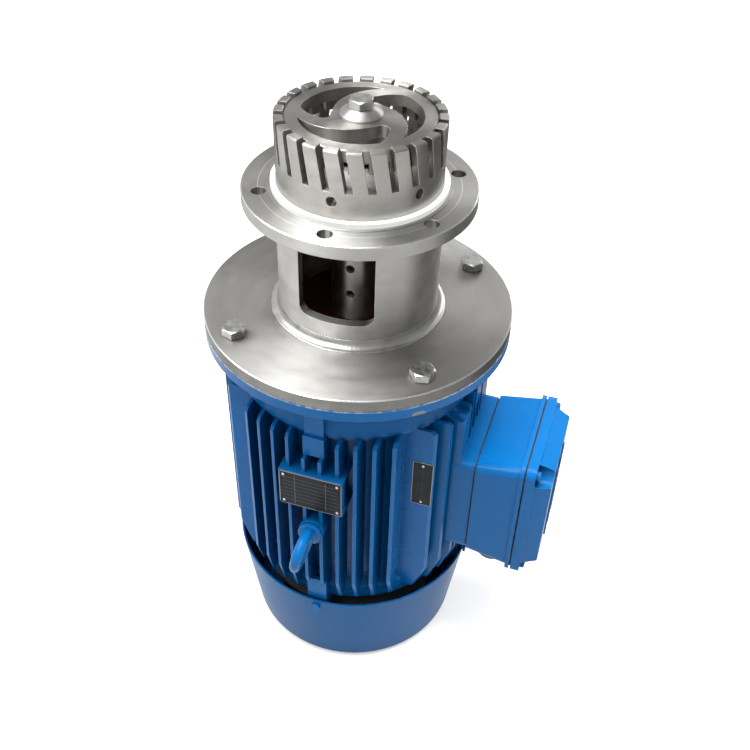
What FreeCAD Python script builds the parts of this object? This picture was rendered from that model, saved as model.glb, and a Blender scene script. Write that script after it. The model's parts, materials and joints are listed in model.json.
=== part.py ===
"""High shear mixer: slotted rotor and stator head on a lantern, driven by a flange motor.

The mixer stands on the flat end of its fan cowl, with the shaft upright along +Z.
The origin is the centre of that flat end. The lantern window, the nameplate and
the lifting eye face -Y, and the terminal box faces +X. All lengths are millimetres.
"""
import FreeCAD, Part
import os
import re
import Sketcher

# Driving sizes, each written once

SIZES = {
    # Fan cowl
    "cowl_length": 138, "cowl_rim_radius": 155.7, "cowl_base_radius": 139,
    "cowl_corner": 14, "cowl_wall": 2.5,
    "grille_inner_radius": 40, "grille_slot_width": 13, "grille_ring_pitch": 26,
    "grille_slot_angle": 34, "grille_slots": 8,
    "cowl_screw_radius": 3, "cowl_screw_head": 5.5, "cowl_screw_depth": 7, "cowl_screw_drop": 12,
    "cowl_screw_lift": 0.8,
    # Motor frame
    "frame_lift": 9, "frame_length": 274, "frame_radius": 128, "frame_bore": 120,
    "frame_end_radius": 137, "frame_end_height": 8,
    "fin_radius": 158, "side_fin_reach": 149, "fin_thick": 4, "fin_pitch": 19.4,
    "front_fins": 10, "side_fins": 11,
    "fin_foot_radius": 147, "fin_foot_height": 38, "fin_top_drop": 4,
    "lug_width": 25, "lug_radius": 150, "upper_lug_height": 28, "lower_lug_height": 27,
    "eye_boss_radius": 15, "eye_boss_reach": 163, "eye_height": 282,
    # Cable neck on the side of the frame
    "neck_reach": 166, "neck_half_width": 66, "neck_low": 205, "neck_high": 352,
    "neck_corner": 9, "neck_wall": 12,
    "shoulder_near": 31, "shoulder_far": 65, "shoulder_root": 126, "shoulder_drop": 11,
    # Nameplate bracket and plates
    "bracket_wall": 4, "bracket_reach": 162, "bracket_low": 319, "bracket_margin": 1,
    "nameplate_width": 74, "nameplate_height": 52, "plate_sheet": 0.8,
    "side_plate_width": 24, "side_plate_height": 69, "side_plate_low": 303, "side_plate_start": 101,
    "rivet_radius": 1.7, "rivet_head": 1.1, "rivet_inset": 5,
    # Drive end shield with the motor flange
    "shield_height": 56, "shield_foot_radius": 142, "shield_neck_radius": 128,
    "motor_flange_thick": 13, "flange_radius": 175, "spigot_radius": 125, "spigot_height": 5,
    "register_depth": 8, "register_wall": 8, "shield_web": 23, "shield_lug_height": 37,
    "shield_lug_radius": 147, "shield_lug_width": 22,
    # Fan end shield
    "rear_shield_radius": 138, "rear_shield_rim": 12, "rear_hub_drop": 26, "rear_lug_drop": 28,
    "rear_lug_radius": 149.5, "hub_radius": 62,
    # Bearings, one size at both ends
    "bearing_bore_radius": 22.5, "bearing_outer_radius": 50, "bearing_width": 25,
    "ball_circle_radius": 36.25, "ball_radius": 8.7, "race_clearance": 0.06, "race_rim": 5.25,
    "balls": 8, "cage_wall": 3, "cage_half_height": 10.9, "cage_pocket_gap": 0.3,
    "front_bearing_depth": 50, "rear_bearing_drop": 23, "bearing_overhang": 3,
    # Motor core
    "core_lift": 43, "core_length": 180, "core_inner_radius": 75, "air_gap": 0.6,
    "winding_reach": 32, "winding_inner_radius": 84, "winding_outer_radius": 112,
    "shaft_core_radius": 26, "shaft_end_radius": 21, "shaft_extension": 110, "shaft_fan_radius": 19,
    "fan_shaft_drop": 79,
    "key_width": 12, "key_height": 8, "key_length": 90, "key_start": 10, "key_depth": 5,
    # Cooling fan
    "fan_radius": 128, "fan_disc_thick": 4, "fan_blade_height": 46, "fan_hub_radius": 30,
    "fan_blades": 9, "fan_blade_thick": 3.5, "fan_blade_inner": 48, "fan_lift": 52, "fan_hub_height": 40,
    "circlip_width": 2.2, "circlip_reach": 4,
    # Screws of the motor
    "shield_screw_radius": 4, "shield_screw_head_radius": 6.5, "shield_screw_head": 6,
    "shield_screw_circle": 141, "shield_screw_grip": 16,
    "oil_seal_radius": 31, "oil_seal_height": 10,
    "wave_washer_height": 1.6,
    # Lifting eyebolt
    "eye_ring_radius": 21, "eye_wire_radius": 6, "eye_collar_radius": 14.5, "eye_collar_height": 7,
    "eye_thread_radius": 6, "eye_thread_depth": 20, "eye_turn": 18,
    # Terminal box
    "gasket_sheet": 2, "box_depth": 56, "box_half_width": 69, "box_centre_height": 279,
    "box_foot_half_height": 76, "box_mouth_half_height": 86, "box_mouth_half_width": 70,
    "box_corner": 12, "box_wall": 5, "box_lip": 3, "box_lip_depth": 5,
    "lid_rim": 12, "lid_dome": 18, "lid_dome_inset": 10, "lid_wall": 4,
    "lid_pocket_radius": 13, "lid_pocket_inset": 8, "lid_pocket_depth": 19,
    "lid_rib_width": 5, "lid_rib_height": 2, "lid_rib_pitch": 22, "lid_ribs": 3, "lid_rib_length": 116,
    "lid_screw_radius": 3, "lid_screw_head_radius": 5.5, "lid_screw_head": 6,
    "entry_radius": 16, "entry_spacing": 62, "entry_head": 20, "entry_head_height": 6, "entry_collar": 8,
    "board_thick": 9, "board_half_width": 32, "board_half_height": 44, "board_pillar": 8,
    "stud_radius": 2.5, "stud_length": 16, "stud_pitch": 22, "stud_row": 40,
    "link_width": 9, "link_thick": 2, "stud_nut": 4.5, "stud_nut_height": 4,
    # Lantern
    "plate_thick": 15, "tube_radius": 89.5, "tube_wall": 10, "tube_length": 133.5,
    "edge_break": 1, "spigot_clearance": 0.1,
    "window_width": 83, "window_shift": 2, "window_sill": 28.8, "window_head": 12, "window_corner": 10,
    "foot_weld": 10, "head_weld": 6,
    "foot_bolt_circle": 150, "foot_bolt_radius": 8, "foot_hole_clearance": 0.75, "foot_bolts": 4,
    "foot_bolt_flats": 24, "foot_bolt_head": 10, "foot_nut_height": 13,
    # Vessel flange
    "vessel_flange_radius": 124, "vessel_flange_thick": 15.5, "raised_face_radius": 97,
    "raised_face_height": 0.8, "vessel_hole_circle": 106, "vessel_hole_radius": 8, "vessel_holes": 6,
    "seat_spigot_height": 33, "seal_pocket_radius": 34, "seal_pocket_depth": 38, "shaft_hole_clearance": 4,
    # Slotted stator ring
    "stator_radius": 87.3, "stator_height": 77, "stator_slots": 24, "stator_slot_width": 8,
    "stator_slot_depth": 42.8, "stator_slot_turn": 4.75, "stator_turn": 6.75,
    "stator_bevel": 1.3, "stator_fit": 0.05,
    "pin_height": 24.2, "pin_radius": 5.5, "stator_pins": 6, "pin_recess": 3,
    "gasket_gap": 0.3, "gasket_width": 5.6, "gasket_height": 5.5,
    # Rotor
    "rotor_radius": 77, "rotor_gap": 0.6, "rotor_drop": 2.3, "rotor_plate_thick": 12.5,
    "rotor_wall": 8, "rotor_tooth_height": 12.5, "rotor_slots": 24, "rotor_slot_width": 5.4,
    "rotor_hub_radius": 24, "rotor_hub_height": 17, "rotor_turn": 7.5,
    "swirl_windows": 3, "swirl_outer_radius": 63.5, "swirl_tip_angle": 86, "swirl_sweep": 98,
    "swirl_inner_radius": 29.5, "swirl_inner_angle": 183.5, "swirl_lobe_radius": 8.5,
    "swirl_lobe_angle": 208.5, "swirl_lobe_centre": 40,
    "rotor_seat_radius": 15, "rotor_key_width": 8, "rotor_key_height": 7, "rotor_key_length": 22,
    "running_clearance": 0.03,
    "cap_radius": 22, "cap_edge": 2, "cap_height": 8, "cap_top_radius": 13,
    "rotor_bolt_radius": 7, "rotor_bolt_flats": 21.2, "rotor_bolt_head": 9, "rotor_bolt_length": 46,
    # Mixer shaft
    "sleeve_radius": 30, "sleeve_lift": 6.5, "sleeve_length": 111.5, "sleeve_cone": 6, "sleeve_gap": 2,
    "mixer_shaft_radius": 20, "set_screw_radius": 5, "set_screw_low": 41, "set_screw_pitch": 33,
    "set_screw_recess": 2.5,
    # Mechanical seal
    "seat_height": 10, "seat_step": 4, "seat_step_width": 5, "seal_ring_radius": 30, "seal_ring_height": 7,
    "seal_face_gap": 0.02, "bellows_radius": 28, "bellows_neck_radius": 23, "bellows_height": 23,
    "bellows_flange": 4, "spring_radius": 26, "spring_wire": 1.3, "spring_pitch": 6.5,
    "retainer_radius": 30, "retainer_height": 6,
}

# Levels and radii that follow from the driving sizes

PLACES = {
    "frame_low": "cowl_length + frame_lift",
    "frame_top": "frame_low + frame_length",
    "motor_flange_low": "frame_top + shield_height",
    "motor_face": "motor_flange_low + motor_flange_thick",
    "spigot_top": "motor_face + spigot_height",
    "plate_top": "motor_face + plate_thick",
    "vessel_flange_low": "plate_top + tube_length",
    "vessel_flange_top": "vessel_flange_low + vessel_flange_thick",
    "raised_face": "vessel_flange_top + raised_face_height",
    "seat_spigot_top": "raised_face + seat_spigot_height",
    "stator_top": "raised_face + stator_height",
    "stator_bore": "rotor_radius + rotor_gap",
    "rotor_top": "stator_top - rotor_drop",
    "rotor_plate_low": "rotor_top - rotor_plate_thick",
    "rotor_low": "rotor_plate_low - rotor_tooth_height",
    "rotor_hub_low": "rotor_plate_low - rotor_hub_height",
    "front_bearing_low": "motor_face - front_bearing_depth",
    "front_bearing_high": "front_bearing_low + bearing_width",
    "rear_bearing_low": "frame_low - rear_bearing_drop",
    "rear_bearing_high": "rear_bearing_low + bearing_width",
    "core_low": "frame_low + core_lift",
    "core_high": "core_low + core_length",
    "shaft_end": "motor_face + shaft_extension",
    "fan_shaft_end": "rear_bearing_low - fan_shaft_drop",
    "sleeve_low": "motor_face + sleeve_lift",
    "sleeve_high": "sleeve_low + sleeve_length",
    "seal_pocket_low": "seat_spigot_top - seal_pocket_depth",
    "seal_face": "seal_pocket_low + seat_height",
    "seal_ring_low": "seal_face + seal_face_gap",
    "seal_ring_high": "seal_ring_low + seal_ring_height",
    "retainer_low": "seal_ring_high + bellows_height",
    "tube_bore": "tube_radius - tube_wall",
    "neck_centre": "(neck_low + neck_high) / 2",
    "box_low": "neck_reach + gasket_sheet",
    "box_mouth": "box_low + box_depth",
    "lid_low": "box_mouth + gasket_sheet",
    "lid_dome_low": "lid_low + lid_rim",
    "lid_top": "lid_dome_low + lid_dome",
    "bracket_high": "bracket_low + nameplate_height + 2 * bracket_margin",
    "side_face": "(side_fins - 1) / 2 * fin_pitch + fin_thick / 2",
    "cowl_screw_height": "cowl_length - cowl_screw_drop",
    "cowl_screw_radius_out": "cowl_rim_radius - (cowl_rim_radius - cowl_base_radius)"
                             " * cowl_screw_drop / (cowl_length - cowl_corner)",
}

doc = FreeCAD.newDocument("HighShearMixer")
size = doc.addObject("Spreadsheet::Sheet", "size")
place = doc.addObject("Spreadsheet::Sheet", "place")


def bound(text):
    """Write a sum of named sizes as an expression on the two sheets."""
    def sheet_name(match):
        word = match.group(0)
        if word in SIZES:
            return "size." + word
        return "place." + word if word in PLACES else word
    return re.sub(r"[a-z][a-z_]*", sheet_name, str(text))


def value(text):
    return float(size.evalExpression(bound(text)))


def fill_sheets():
    for row, (name, number) in enumerate(SIZES.items(), 1):
        size.set(f"A{row}", str(number))
        size.setAlias(f"A{row}", name)
    for row, (name, formula) in enumerate(PLACES.items(), 1):
        place.set(f"A{row}", "=" + bound(formula).replace("place.", ""))
        place.setAlias(f"A{row}", name)
    doc.recompute()


# Sketch and feature helpers

def new_body(label):
    body = doc.addObject("PartDesign::Body", label)
    body.Label = label
    return body


def origin(body, role):
    return next(item for item in body.Origin.OriginFeatures if item.Role == role)


def new_sketch(body, role="XZ_Plane", offset="0", turn=None):
    """A sketch on an origin plane, moved along the way it faces.

    On the XZ plane, turn swings the moved sketch about the shaft axis.
    """
    sketch = body.newObject("Sketcher::SketchObject", body.Name + "_sketch")
    sketch.AttachmentSupport = (origin(body, role), [""])
    sketch.MapMode = "FlatFace"
    if turn is None:
        sketch.setExpression("AttachmentOffset.Base.z", bound(offset))
        return sketch
    swing = FreeCAD.Rotation(FreeCAD.Vector(0, 1, 0), value(turn))
    sketch.AttachmentOffset = FreeCAD.Placement(FreeCAD.Vector(), swing)
    sketch.setExpression("AttachmentOffset.Rotation.Angle", bound(turn))
    sketch.setExpression("AttachmentOffset.Base.x", bound(f"({offset}) * sin({turn})"))
    sketch.setExpression("AttachmentOffset.Base.z", bound(f"({offset}) * cos({turn})"))
    return sketch


def constrain(sketch, kind, where, text):
    """Add one dimension and drive it by an expression."""
    index = sketch.addConstraint(Sketcher.Constraint(kind, *where, value(text)))
    sketch.setExpression(f"Constraints[{index}]", bound(text))


def fix_point(sketch, geometry, end, x, y):
    constrain(sketch, "DistanceX", (-1, 1, geometry, end), x)
    constrain(sketch, "DistanceY", (-1, 1, geometry, end), y)


def arc_between(start, end, radius, turn):
    """The shorter arc between two points, stored anticlockwise as sketches keep it."""
    chord = end - start
    normal = FreeCAD.Vector(-chord.y, chord.x, 0).normalize() * turn
    rise = max(radius ** 2 - (chord.Length / 2) ** 2, 0) ** 0.5
    bulge = (start + end) * 0.5 - normal * (radius - rise)
    return Part.Arc(start, bulge, end) if turn > 0 else Part.Arc(end, bulge, start)


def outline(sketch, corners):
    """Closed outline. A corner is (x, y), or (x, y, radius, turn) where an arc leaves it."""
    points = [FreeCAD.Vector(value(corner[0]), value(corner[1]), 0) for corner in corners]
    first = sketch.GeometryCount
    ends = []
    for number, corner in enumerate(corners):
        start = points[number]
        end = points[(number + 1) % len(points)]
        if len(corner) == 2:
            sketch.addGeometry(Part.LineSegment(start, end))
            ends.append((1, 2))
        else:
            sketch.addGeometry(arc_between(start, end, value(corner[2]), corner[3]))
            ends.append((1, 2) if corner[3] > 0 else (2, 1))
    for number, corner in enumerate(corners):
        following = (number + 1) % len(corners)
        here = (first + number, ends[number][1])
        there = (first + following, ends[following][0])
        sketch.addConstraint(Sketcher.Constraint("Coincident", *here, *there))
        fix_point(sketch, first + number, ends[number][0], corner[0], corner[1])
        if len(corner) == 4:
            constrain(sketch, "Radius", (first + number,), corner[2])


def rectangle(sketch, left, right, low, high):
    outline(sketch, [(left, low), (right, low), (right, high), (left, high)])


def rounded_rectangle(sketch, centre, middle, half_width, half_height, corner):
    left = f"{centre} - ({half_width})"
    right = f"{centre} + ({half_width})"
    low = f"{middle} - ({half_height})"
    high = f"{middle} + ({half_height})"
    round_ = (f"({corner})", 1)
    outline(sketch, [
        (f"{left} + ({corner})", low), (f"{right} - ({corner})", low, *round_),
        (right, f"{low} + ({corner})"), (right, f"{high} - ({corner})", *round_),
        (f"{right} - ({corner})", high), (f"{left} + ({corner})", high, *round_),
        (left, f"{high} - ({corner})"), (left, f"{low} + ({corner})", *round_),
    ])


def circle(sketch, x, y, radius):
    centre = FreeCAD.Vector(value(x), value(y), 0)
    index = sketch.addGeometry(Part.Circle(centre, FreeCAD.Vector(0, 0, 1), value(radius)))
    fix_point(sketch, index, 3, x, y)
    constrain(sketch, "Radius", (index,), radius)


def hexagon(sketch, x, y, flats):
    corner_radius = f"{flats} / sqrt(3)"
    corners = [(f"{x} + {corner_radius} * cos({60 * side})", f"{y} + {corner_radius} * sin({60 * side})")
               for side in range(6)]
    outline(sketch, corners)


def feature(body, kind, sketch, **properties):
    """Add one sketch-based feature. Text values become expressions."""
    item = body.newObject("PartDesign::" + kind, f"{body.Name}_{kind}")
    item.Profile = sketch
    for name, setting in properties.items():
        if isinstance(setting, str):
            item.setExpression(name, bound(setting))
        else:
            setattr(item, name, setting)
    body.Tip = item
    return item


def revolve(body, corners):
    sketch = new_sketch(body)
    outline(sketch, corners)
    return feature(body, "Revolution", sketch, ReferenceAxis=(sketch, ["V_Axis"]), Angle=360)


def groove(body, corners):
    sketch = new_sketch(body)
    outline(sketch, corners)
    return feature(body, "Groove", sketch, ReferenceAxis=(sketch, ["V_Axis"]), Angle=360)


def pad(body, sketch, length):
    return feature(body, "Pad", sketch, Length=length)


def pocket(body, sketch, length):
    """Cut along the way the sketch plane faces: +Z, -Y or +X."""
    return feature(body, "Pocket", sketch, Length=length, Reversed=True)


def around(body, features, count):
    """Repeat features evenly about the shaft axis."""
    pattern = body.newObject("PartDesign::PolarPattern", body.Name + "_ring")
    pattern.Originals = features
    pattern.Axis = (origin(body, "Z_Axis"), [""])
    pattern.Angle = 360
    pattern.setExpression("Occurrences", bound(count))
    body.Tip = pattern
    return pattern


def along(body, features, axis, length, count):
    """Repeat features in a row along an axis."""
    pattern = body.newObject("PartDesign::LinearPattern", body.Name + "_row")
    pattern.Originals = features
    pattern.Direction = (origin(body, axis), [""])
    pattern.setExpression("Length", bound(length))
    pattern.setExpression("Occurrences", bound(count))
    body.Tip = pattern
    return pattern


def ring(label, inner, outer, low, high):
    body = new_body(label)
    revolve(body, [(inner, low), (outer, low), (outer, high), (inner, high)])
    return body


def loft(body, kind, sketches):
    item = feature(body, kind, sketches[0], Ruled=True)
    item.Sections = sketches[1:]
    return item


# Fan end of the motor

def make_fan_cowl():
    body = new_body("fan_cowl")
    flat = "cowl_base_radius - cowl_corner"
    revolve(body, [
        ("0", "0"), (flat, "0", "cowl_corner", 1), ("cowl_base_radius", "cowl_corner"),
        ("cowl_rim_radius", "cowl_length"), ("cowl_rim_radius - cowl_wall", "cowl_length"),
        ("cowl_base_radius - cowl_wall", "cowl_corner", "cowl_corner - cowl_wall", -1),
        (flat, "cowl_wall"), ("0", "cowl_wall"),
    ])
    for row in range(3):
        inner = f"(grille_inner_radius + {row} * grille_ring_pitch)"
        outer = f"({inner} + grille_slot_width)"
        sketch = new_sketch(body, "XY_Plane", "-1")
        half = "grille_slot_angle / 2"
        outline(sketch, [
            (f"{inner} * cos({half})", f"-{inner} * sin({half})"),
            (f"{outer} * cos({half})", f"-{outer} * sin({half})", outer, 1),
            (f"{outer} * cos({half})", f"{outer} * sin({half})"),
            (f"{inner} * cos({half})", f"{inner} * sin({half})", inner, -1),
        ])
        slot = pocket(body, sketch, "cowl_wall + 2")
        around(body, [slot], "grille_slots")
    sketch = new_sketch(body, "XZ_Plane", "cowl_base_radius - cowl_wall - 2")
    circle(sketch, "0", "cowl_screw_height", "cowl_screw_radius")
    hole = pocket(body, sketch, "cowl_rim_radius - cowl_base_radius + cowl_wall + 4")
    around(body, [hole], "4")


def make_cowl_screws():
    body = new_body("cowl_screws")
    seat = "cowl_screw_radius_out"
    sketch = new_sketch(body, "XZ_Plane", f"{seat} - cowl_screw_depth")
    circle(sketch, "0", "cowl_screw_height", "cowl_screw_radius")
    shank = pad(body, sketch, "cowl_screw_depth + cowl_screw_lift")
    sketch = new_sketch(body, "XZ_Plane", f"{seat} + cowl_screw_lift")
    circle(sketch, "0", "cowl_screw_height", "cowl_screw_head")
    head = pad(body, sketch, "cowl_screw_radius")
    around(body, [shank, head], "4")


def make_fan():
    body = new_body("cooling_fan")
    low = "fan_lift"
    disc_top = "fan_lift + fan_blade_height"
    bore = "shaft_fan_radius + running_clearance"
    revolve(body, [
        (bore, f"{disc_top} - fan_hub_height"), ("fan_hub_radius", f"{disc_top} - fan_hub_height"),
        ("fan_hub_radius", disc_top), ("fan_radius", disc_top),
        ("fan_radius", f"{disc_top} + fan_disc_thick"), (bore, f"{disc_top} + fan_disc_thick"),
    ])
    sketch = new_sketch(body, "XY_Plane", low)
    rectangle(sketch, "fan_blade_inner", "fan_radius", "-fan_blade_thick / 2", "fan_blade_thick / 2")
    blade = pad(body, sketch, "fan_blade_height + fan_disc_thick / 2")
    around(body, [blade], "fan_blades")


def make_circlip():
    low = "fan_lift + fan_blade_height - fan_hub_height - circlip_width"
    body = new_body("fan_circlip")
    inner = "shaft_fan_radius + running_clearance"
    sketch = new_sketch(body, "XY_Plane", low)
    circle(sketch, "0", "0", "shaft_fan_radius + circlip_reach")
    circle(sketch, "0", "0", inner)
    pad(body, sketch, "circlip_width")
    sketch = new_sketch(body, "XY_Plane", low)
    rectangle(sketch, "shaft_fan_radius / 2", "shaft_fan_radius + 2 * circlip_reach",
              "-circlip_reach", "circlip_reach")
    pocket(body, sketch, "circlip_width")


def make_rear_shield():
    body = new_body("fan_end_shield")
    rim_low = "frame_low - rear_shield_rim"
    hub_low = "frame_low - rear_hub_drop"
    bore = "bearing_bore_radius + 3"
    revolve(body, [
        ("frame_bore - register_wall", "frame_low + register_depth"),
        ("frame_bore", "frame_low + register_depth"), ("frame_bore", "frame_low"),
        ("rear_shield_radius", "frame_low"), ("rear_shield_radius", rim_low),
        ("hub_radius", hub_low), (bore, hub_low), (bore, "rear_bearing_low"),
        ("bearing_outer_radius", "rear_bearing_low"),
        ("bearing_outer_radius", "rear_bearing_high + bearing_overhang"),
        ("hub_radius", "rear_bearing_high + bearing_overhang"), ("hub_radius", "frame_low - 4"),
        ("frame_bore - register_wall", "frame_low"),
    ])
    sketch = new_sketch(body, "XZ_Plane", "frame_bore")
    rectangle(sketch, "-lug_width / 2", "lug_width / 2", "frame_low - rear_lug_drop", "frame_low")
    lug = pad(body, sketch, "rear_lug_radius - frame_bore")
    around(body, [lug], "4")
    sketch = new_sketch(body, "XY_Plane", "frame_low - rear_lug_drop - 1")
    circle(sketch, "0", "-shield_screw_circle", "shield_screw_radius + 0.5")
    hole = pocket(body, sketch, "rear_lug_drop + 2")
    around(body, [hole], "4")
    sketch = new_sketch(body, "XZ_Plane", "cowl_screw_radius_out - cowl_screw_depth")
    circle(sketch, "0", "cowl_screw_height", "cowl_screw_radius")
    hole = pocket(body, sketch, "cowl_screw_depth")
    around(body, [hole], "4")


def make_shield_screws(label, low, high, head_low):
    """Four screws on the lug circle, each a shank from low to high and a head."""
    body = new_body(label)
    sketch = new_sketch(body, "XY_Plane", low)
    circle(sketch, "0", "-shield_screw_circle", "shield_screw_radius")
    shank = pad(body, sketch, f"({high}) - ({low})")
    sketch = new_sketch(body, "XY_Plane", head_low)
    hexagon(sketch, "0", "-shield_screw_circle", "2 * shield_screw_head_radius")
    head = pad(body, sketch, "shield_screw_head")
    around(body, [shank, head], "4")


# Motor frame and its inner parts

def make_frame():
    body = new_body("motor_frame")
    ring_low = "frame_low + frame_end_height"
    ring_high = "frame_top - frame_end_height"
    slope = "(frame_end_radius - frame_radius)"
    revolve(body, [
        ("0", "frame_low"), ("frame_end_radius", "frame_low"), ("frame_end_radius", ring_low),
        ("frame_radius", f"{ring_low} + {slope}"), ("frame_radius", f"{ring_high} - {slope}"),
        ("frame_end_radius", ring_high), ("frame_end_radius", "frame_top"), ("0", "frame_top"),
    ])
    make_fins(body, "X_Axis", "front_fins")
    make_fins(body, "Y_Axis", "side_fins")
    trim_fins(body)
    add_frame_lugs(body)
    add_cable_neck(body)
    add_nameplate_bracket(body)
    sketch = new_sketch(body, "XZ_Plane", "frame_bore")
    circle(sketch, "0", "eye_height", "eye_boss_radius")
    pad(body, sketch, "eye_boss_reach - frame_bore")
    sketch = new_sketch(body, "XY_Plane", "frame_low")
    circle(sketch, "0", "0", "frame_bore")
    pocket(body, sketch, "frame_length")
    sketch = new_sketch(body, "YZ_Plane", "frame_bore - 10")
    rounded_rectangle(sketch, "0", "neck_centre", "neck_half_width - neck_wall",
                      "(neck_high - neck_low) / 2 - neck_wall", "neck_corner")
    pocket(body, sketch, "neck_reach - frame_bore + 10")
    sketch = new_sketch(body, "XZ_Plane", "eye_boss_reach - eye_thread_depth")
    circle(sketch, "0", "eye_height", "eye_thread_radius")
    pocket(body, sketch, "eye_thread_depth")
    for low, depth in (("frame_low", "lower_lug_height"),
                       ("frame_top - shield_screw_grip", "shield_screw_grip")):
        sketch = new_sketch(body, "XY_Plane", low)
        circle(sketch, "0", "-shield_screw_circle", "shield_screw_radius")
        hole = pocket(body, sketch, depth)
        around(body, [hole], "4")


def make_fins(body, axis, count):
    """Parallel cooling fins in a row along an axis, each running right across the frame."""
    first = f"(({count} - 1) / 2 * fin_pitch)"
    sketch = new_sketch(body, "XY_Plane", "frame_low")
    near = f"-{first} - fin_thick / 2"
    far = f"-{first} + fin_thick / 2"
    if axis == "X_Axis":
        rectangle(sketch, near, far, "-fin_radius", "fin_radius")
    else:
        rectangle(sketch, "-side_fin_reach", "side_fin_reach", near, far)
    fin = pad(body, sketch, "frame_length")
    along(body, [fin], axis, f"2 * {first}", count)


def trim_fins(body):
    """Turn the fins to a round envelope that narrows at the foot and the head."""
    outside = "fin_radius * 1.5"
    groove(body, [
        ("fin_foot_radius", "frame_low - 1"), ("fin_foot_radius", "frame_low"),
        ("fin_radius", "frame_low + fin_foot_height"), ("fin_radius", "frame_top - fin_top_drop"),
        ("fin_radius - fin_top_drop", "frame_top"), ("fin_radius - fin_top_drop", "frame_top + 1"),
        (outside, "frame_top + 1"), (outside, "frame_low - 1"),
    ])


def add_frame_lugs(body):
    """Lugs for the end shield screws, with the fins cut back beside the upper ones."""
    for low, high in (("frame_top - upper_lug_height", "frame_top"),
                      ("frame_low", "frame_low + lower_lug_height")):
        sketch = new_sketch(body, "XZ_Plane", "frame_bore")
        rectangle(sketch, "-lug_width / 2", "lug_width / 2", low, high)
        lug = pad(body, sketch, "lug_radius - frame_bore")
        sketch = new_sketch(body, "XZ_Plane", "lug_radius")
        rectangle(sketch, "-lug_width / 2 - 1", "lug_width / 2 + 1", low, high)
        relief = pocket(body, sketch, "fin_radius - lug_radius + 1")
        around(body, [lug, relief], "4")


def add_cable_neck(body):
    sketch = new_sketch(body, "YZ_Plane", "frame_bore - 10")
    rounded_rectangle(sketch, "0", "neck_centre", "neck_half_width",
                      "(neck_high - neck_low) / 2", "neck_corner")
    pad(body, sketch, "neck_reach - frame_bore + 10")
    add_neck_shoulders(body)


def add_neck_shoulders(body):
    """Two solid blocks with sloping tops stand on the neck, between the side fins."""
    for near in ("shoulder_near", "-shoulder_far"):
        sketch = new_sketch(body, "XZ_Plane", near)
        outline(sketch, [
            ("frame_bore", "neck_high - neck_corner"), ("side_fin_reach", "neck_high - neck_corner"),
            ("side_fin_reach", "frame_top - shoulder_drop"), ("shoulder_root", "frame_top"),
            ("frame_bore", "frame_top"),
        ])
        pad(body, sketch, "shoulder_far - shoulder_near")


def add_nameplate_bracket(body):
    """A flat pad across the fin tips, carried by an upper and a lower web."""
    half = "(nameplate_width / 2 + bracket_margin)"
    sketch = new_sketch(body, "XZ_Plane", "bracket_reach - 2 * bracket_wall")
    rectangle(sketch, f"-{half}", half, "bracket_low", "bracket_high")
    pad(body, sketch, "2 * bracket_wall")
    for low in ("bracket_low", "bracket_high - bracket_wall"):
        sketch = new_sketch(body, "XZ_Plane", "frame_bore")
        rectangle(sketch, f"-{half}", half, low, f"{low} + bracket_wall")
        pad(body, sketch, "bracket_reach - frame_bore - bracket_wall")


def make_front_shield():
    body = new_body("drive_end_shield")
    web_low = "spigot_top - shield_web"
    revolve(body, [
        ("frame_bore - register_wall", "frame_top - register_depth"),
        ("frame_bore", "frame_top - register_depth"), ("frame_bore", "frame_top"),
        ("shield_foot_radius", "frame_top"), ("shield_neck_radius", "motor_flange_low"),
        ("flange_radius", "motor_flange_low"), ("flange_radius", "motor_face"),
        ("spigot_radius", "motor_face"), ("spigot_radius", "spigot_top"),
        ("oil_seal_radius", "spigot_top"), ("oil_seal_radius", "spigot_top - oil_seal_height"),
        ("shaft_core_radius", "spigot_top - oil_seal_height"),
        ("shaft_core_radius", "front_bearing_high"), ("bearing_outer_radius", "front_bearing_high"),
        ("bearing_outer_radius", "front_bearing_low - bearing_overhang"),
        ("hub_radius", "front_bearing_low - bearing_overhang"), ("hub_radius", web_low),
        ("frame_bore - register_wall + 4", web_low),
    ])
    sketch = new_sketch(body, "XZ_Plane", "frame_bore")
    rectangle(sketch, "-shield_lug_width / 2", "shield_lug_width / 2",
              "frame_top", "frame_top + shield_lug_height")
    lug = pad(body, sketch, "shield_lug_radius - frame_bore")
    around(body, [lug], "4")
    sketch = new_sketch(body, "XY_Plane", "frame_top - 1")
    circle(sketch, "0", "-shield_screw_circle", "shield_screw_radius + 0.5")
    hole = pocket(body, sketch, "shield_lug_height + 2")
    around(body, [hole], "4")
    add_foot_holes(body, "motor_flange_low", "motor_flange_thick")


def add_foot_holes(body, low, thick):
    """Bolt holes that the motor flange and the lantern plate share."""
    sketch = new_sketch(body, "XY_Plane", f"{low} - 1")
    circle(sketch, "foot_bolt_circle * cos(45)", "foot_bolt_circle * sin(45)",
           "foot_bolt_radius + foot_hole_clearance")
    hole = pocket(body, sketch, f"{thick} + 2")
    around(body, [hole], "foot_bolts")


def make_core():
    ring("stator_core", "core_inner_radius", "frame_bore", "core_low", "core_high")
    body = new_body("stator_windings")
    for low, high in (("core_low - winding_reach", "core_low"), ("core_high", "core_high + winding_reach")):
        revolve(body, [("winding_inner_radius", low), ("winding_outer_radius", low),
                       ("winding_outer_radius", high), ("winding_inner_radius", high)])
    ring("rotor_core", "shaft_core_radius", "core_inner_radius - air_gap", "core_low", "core_high")


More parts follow.
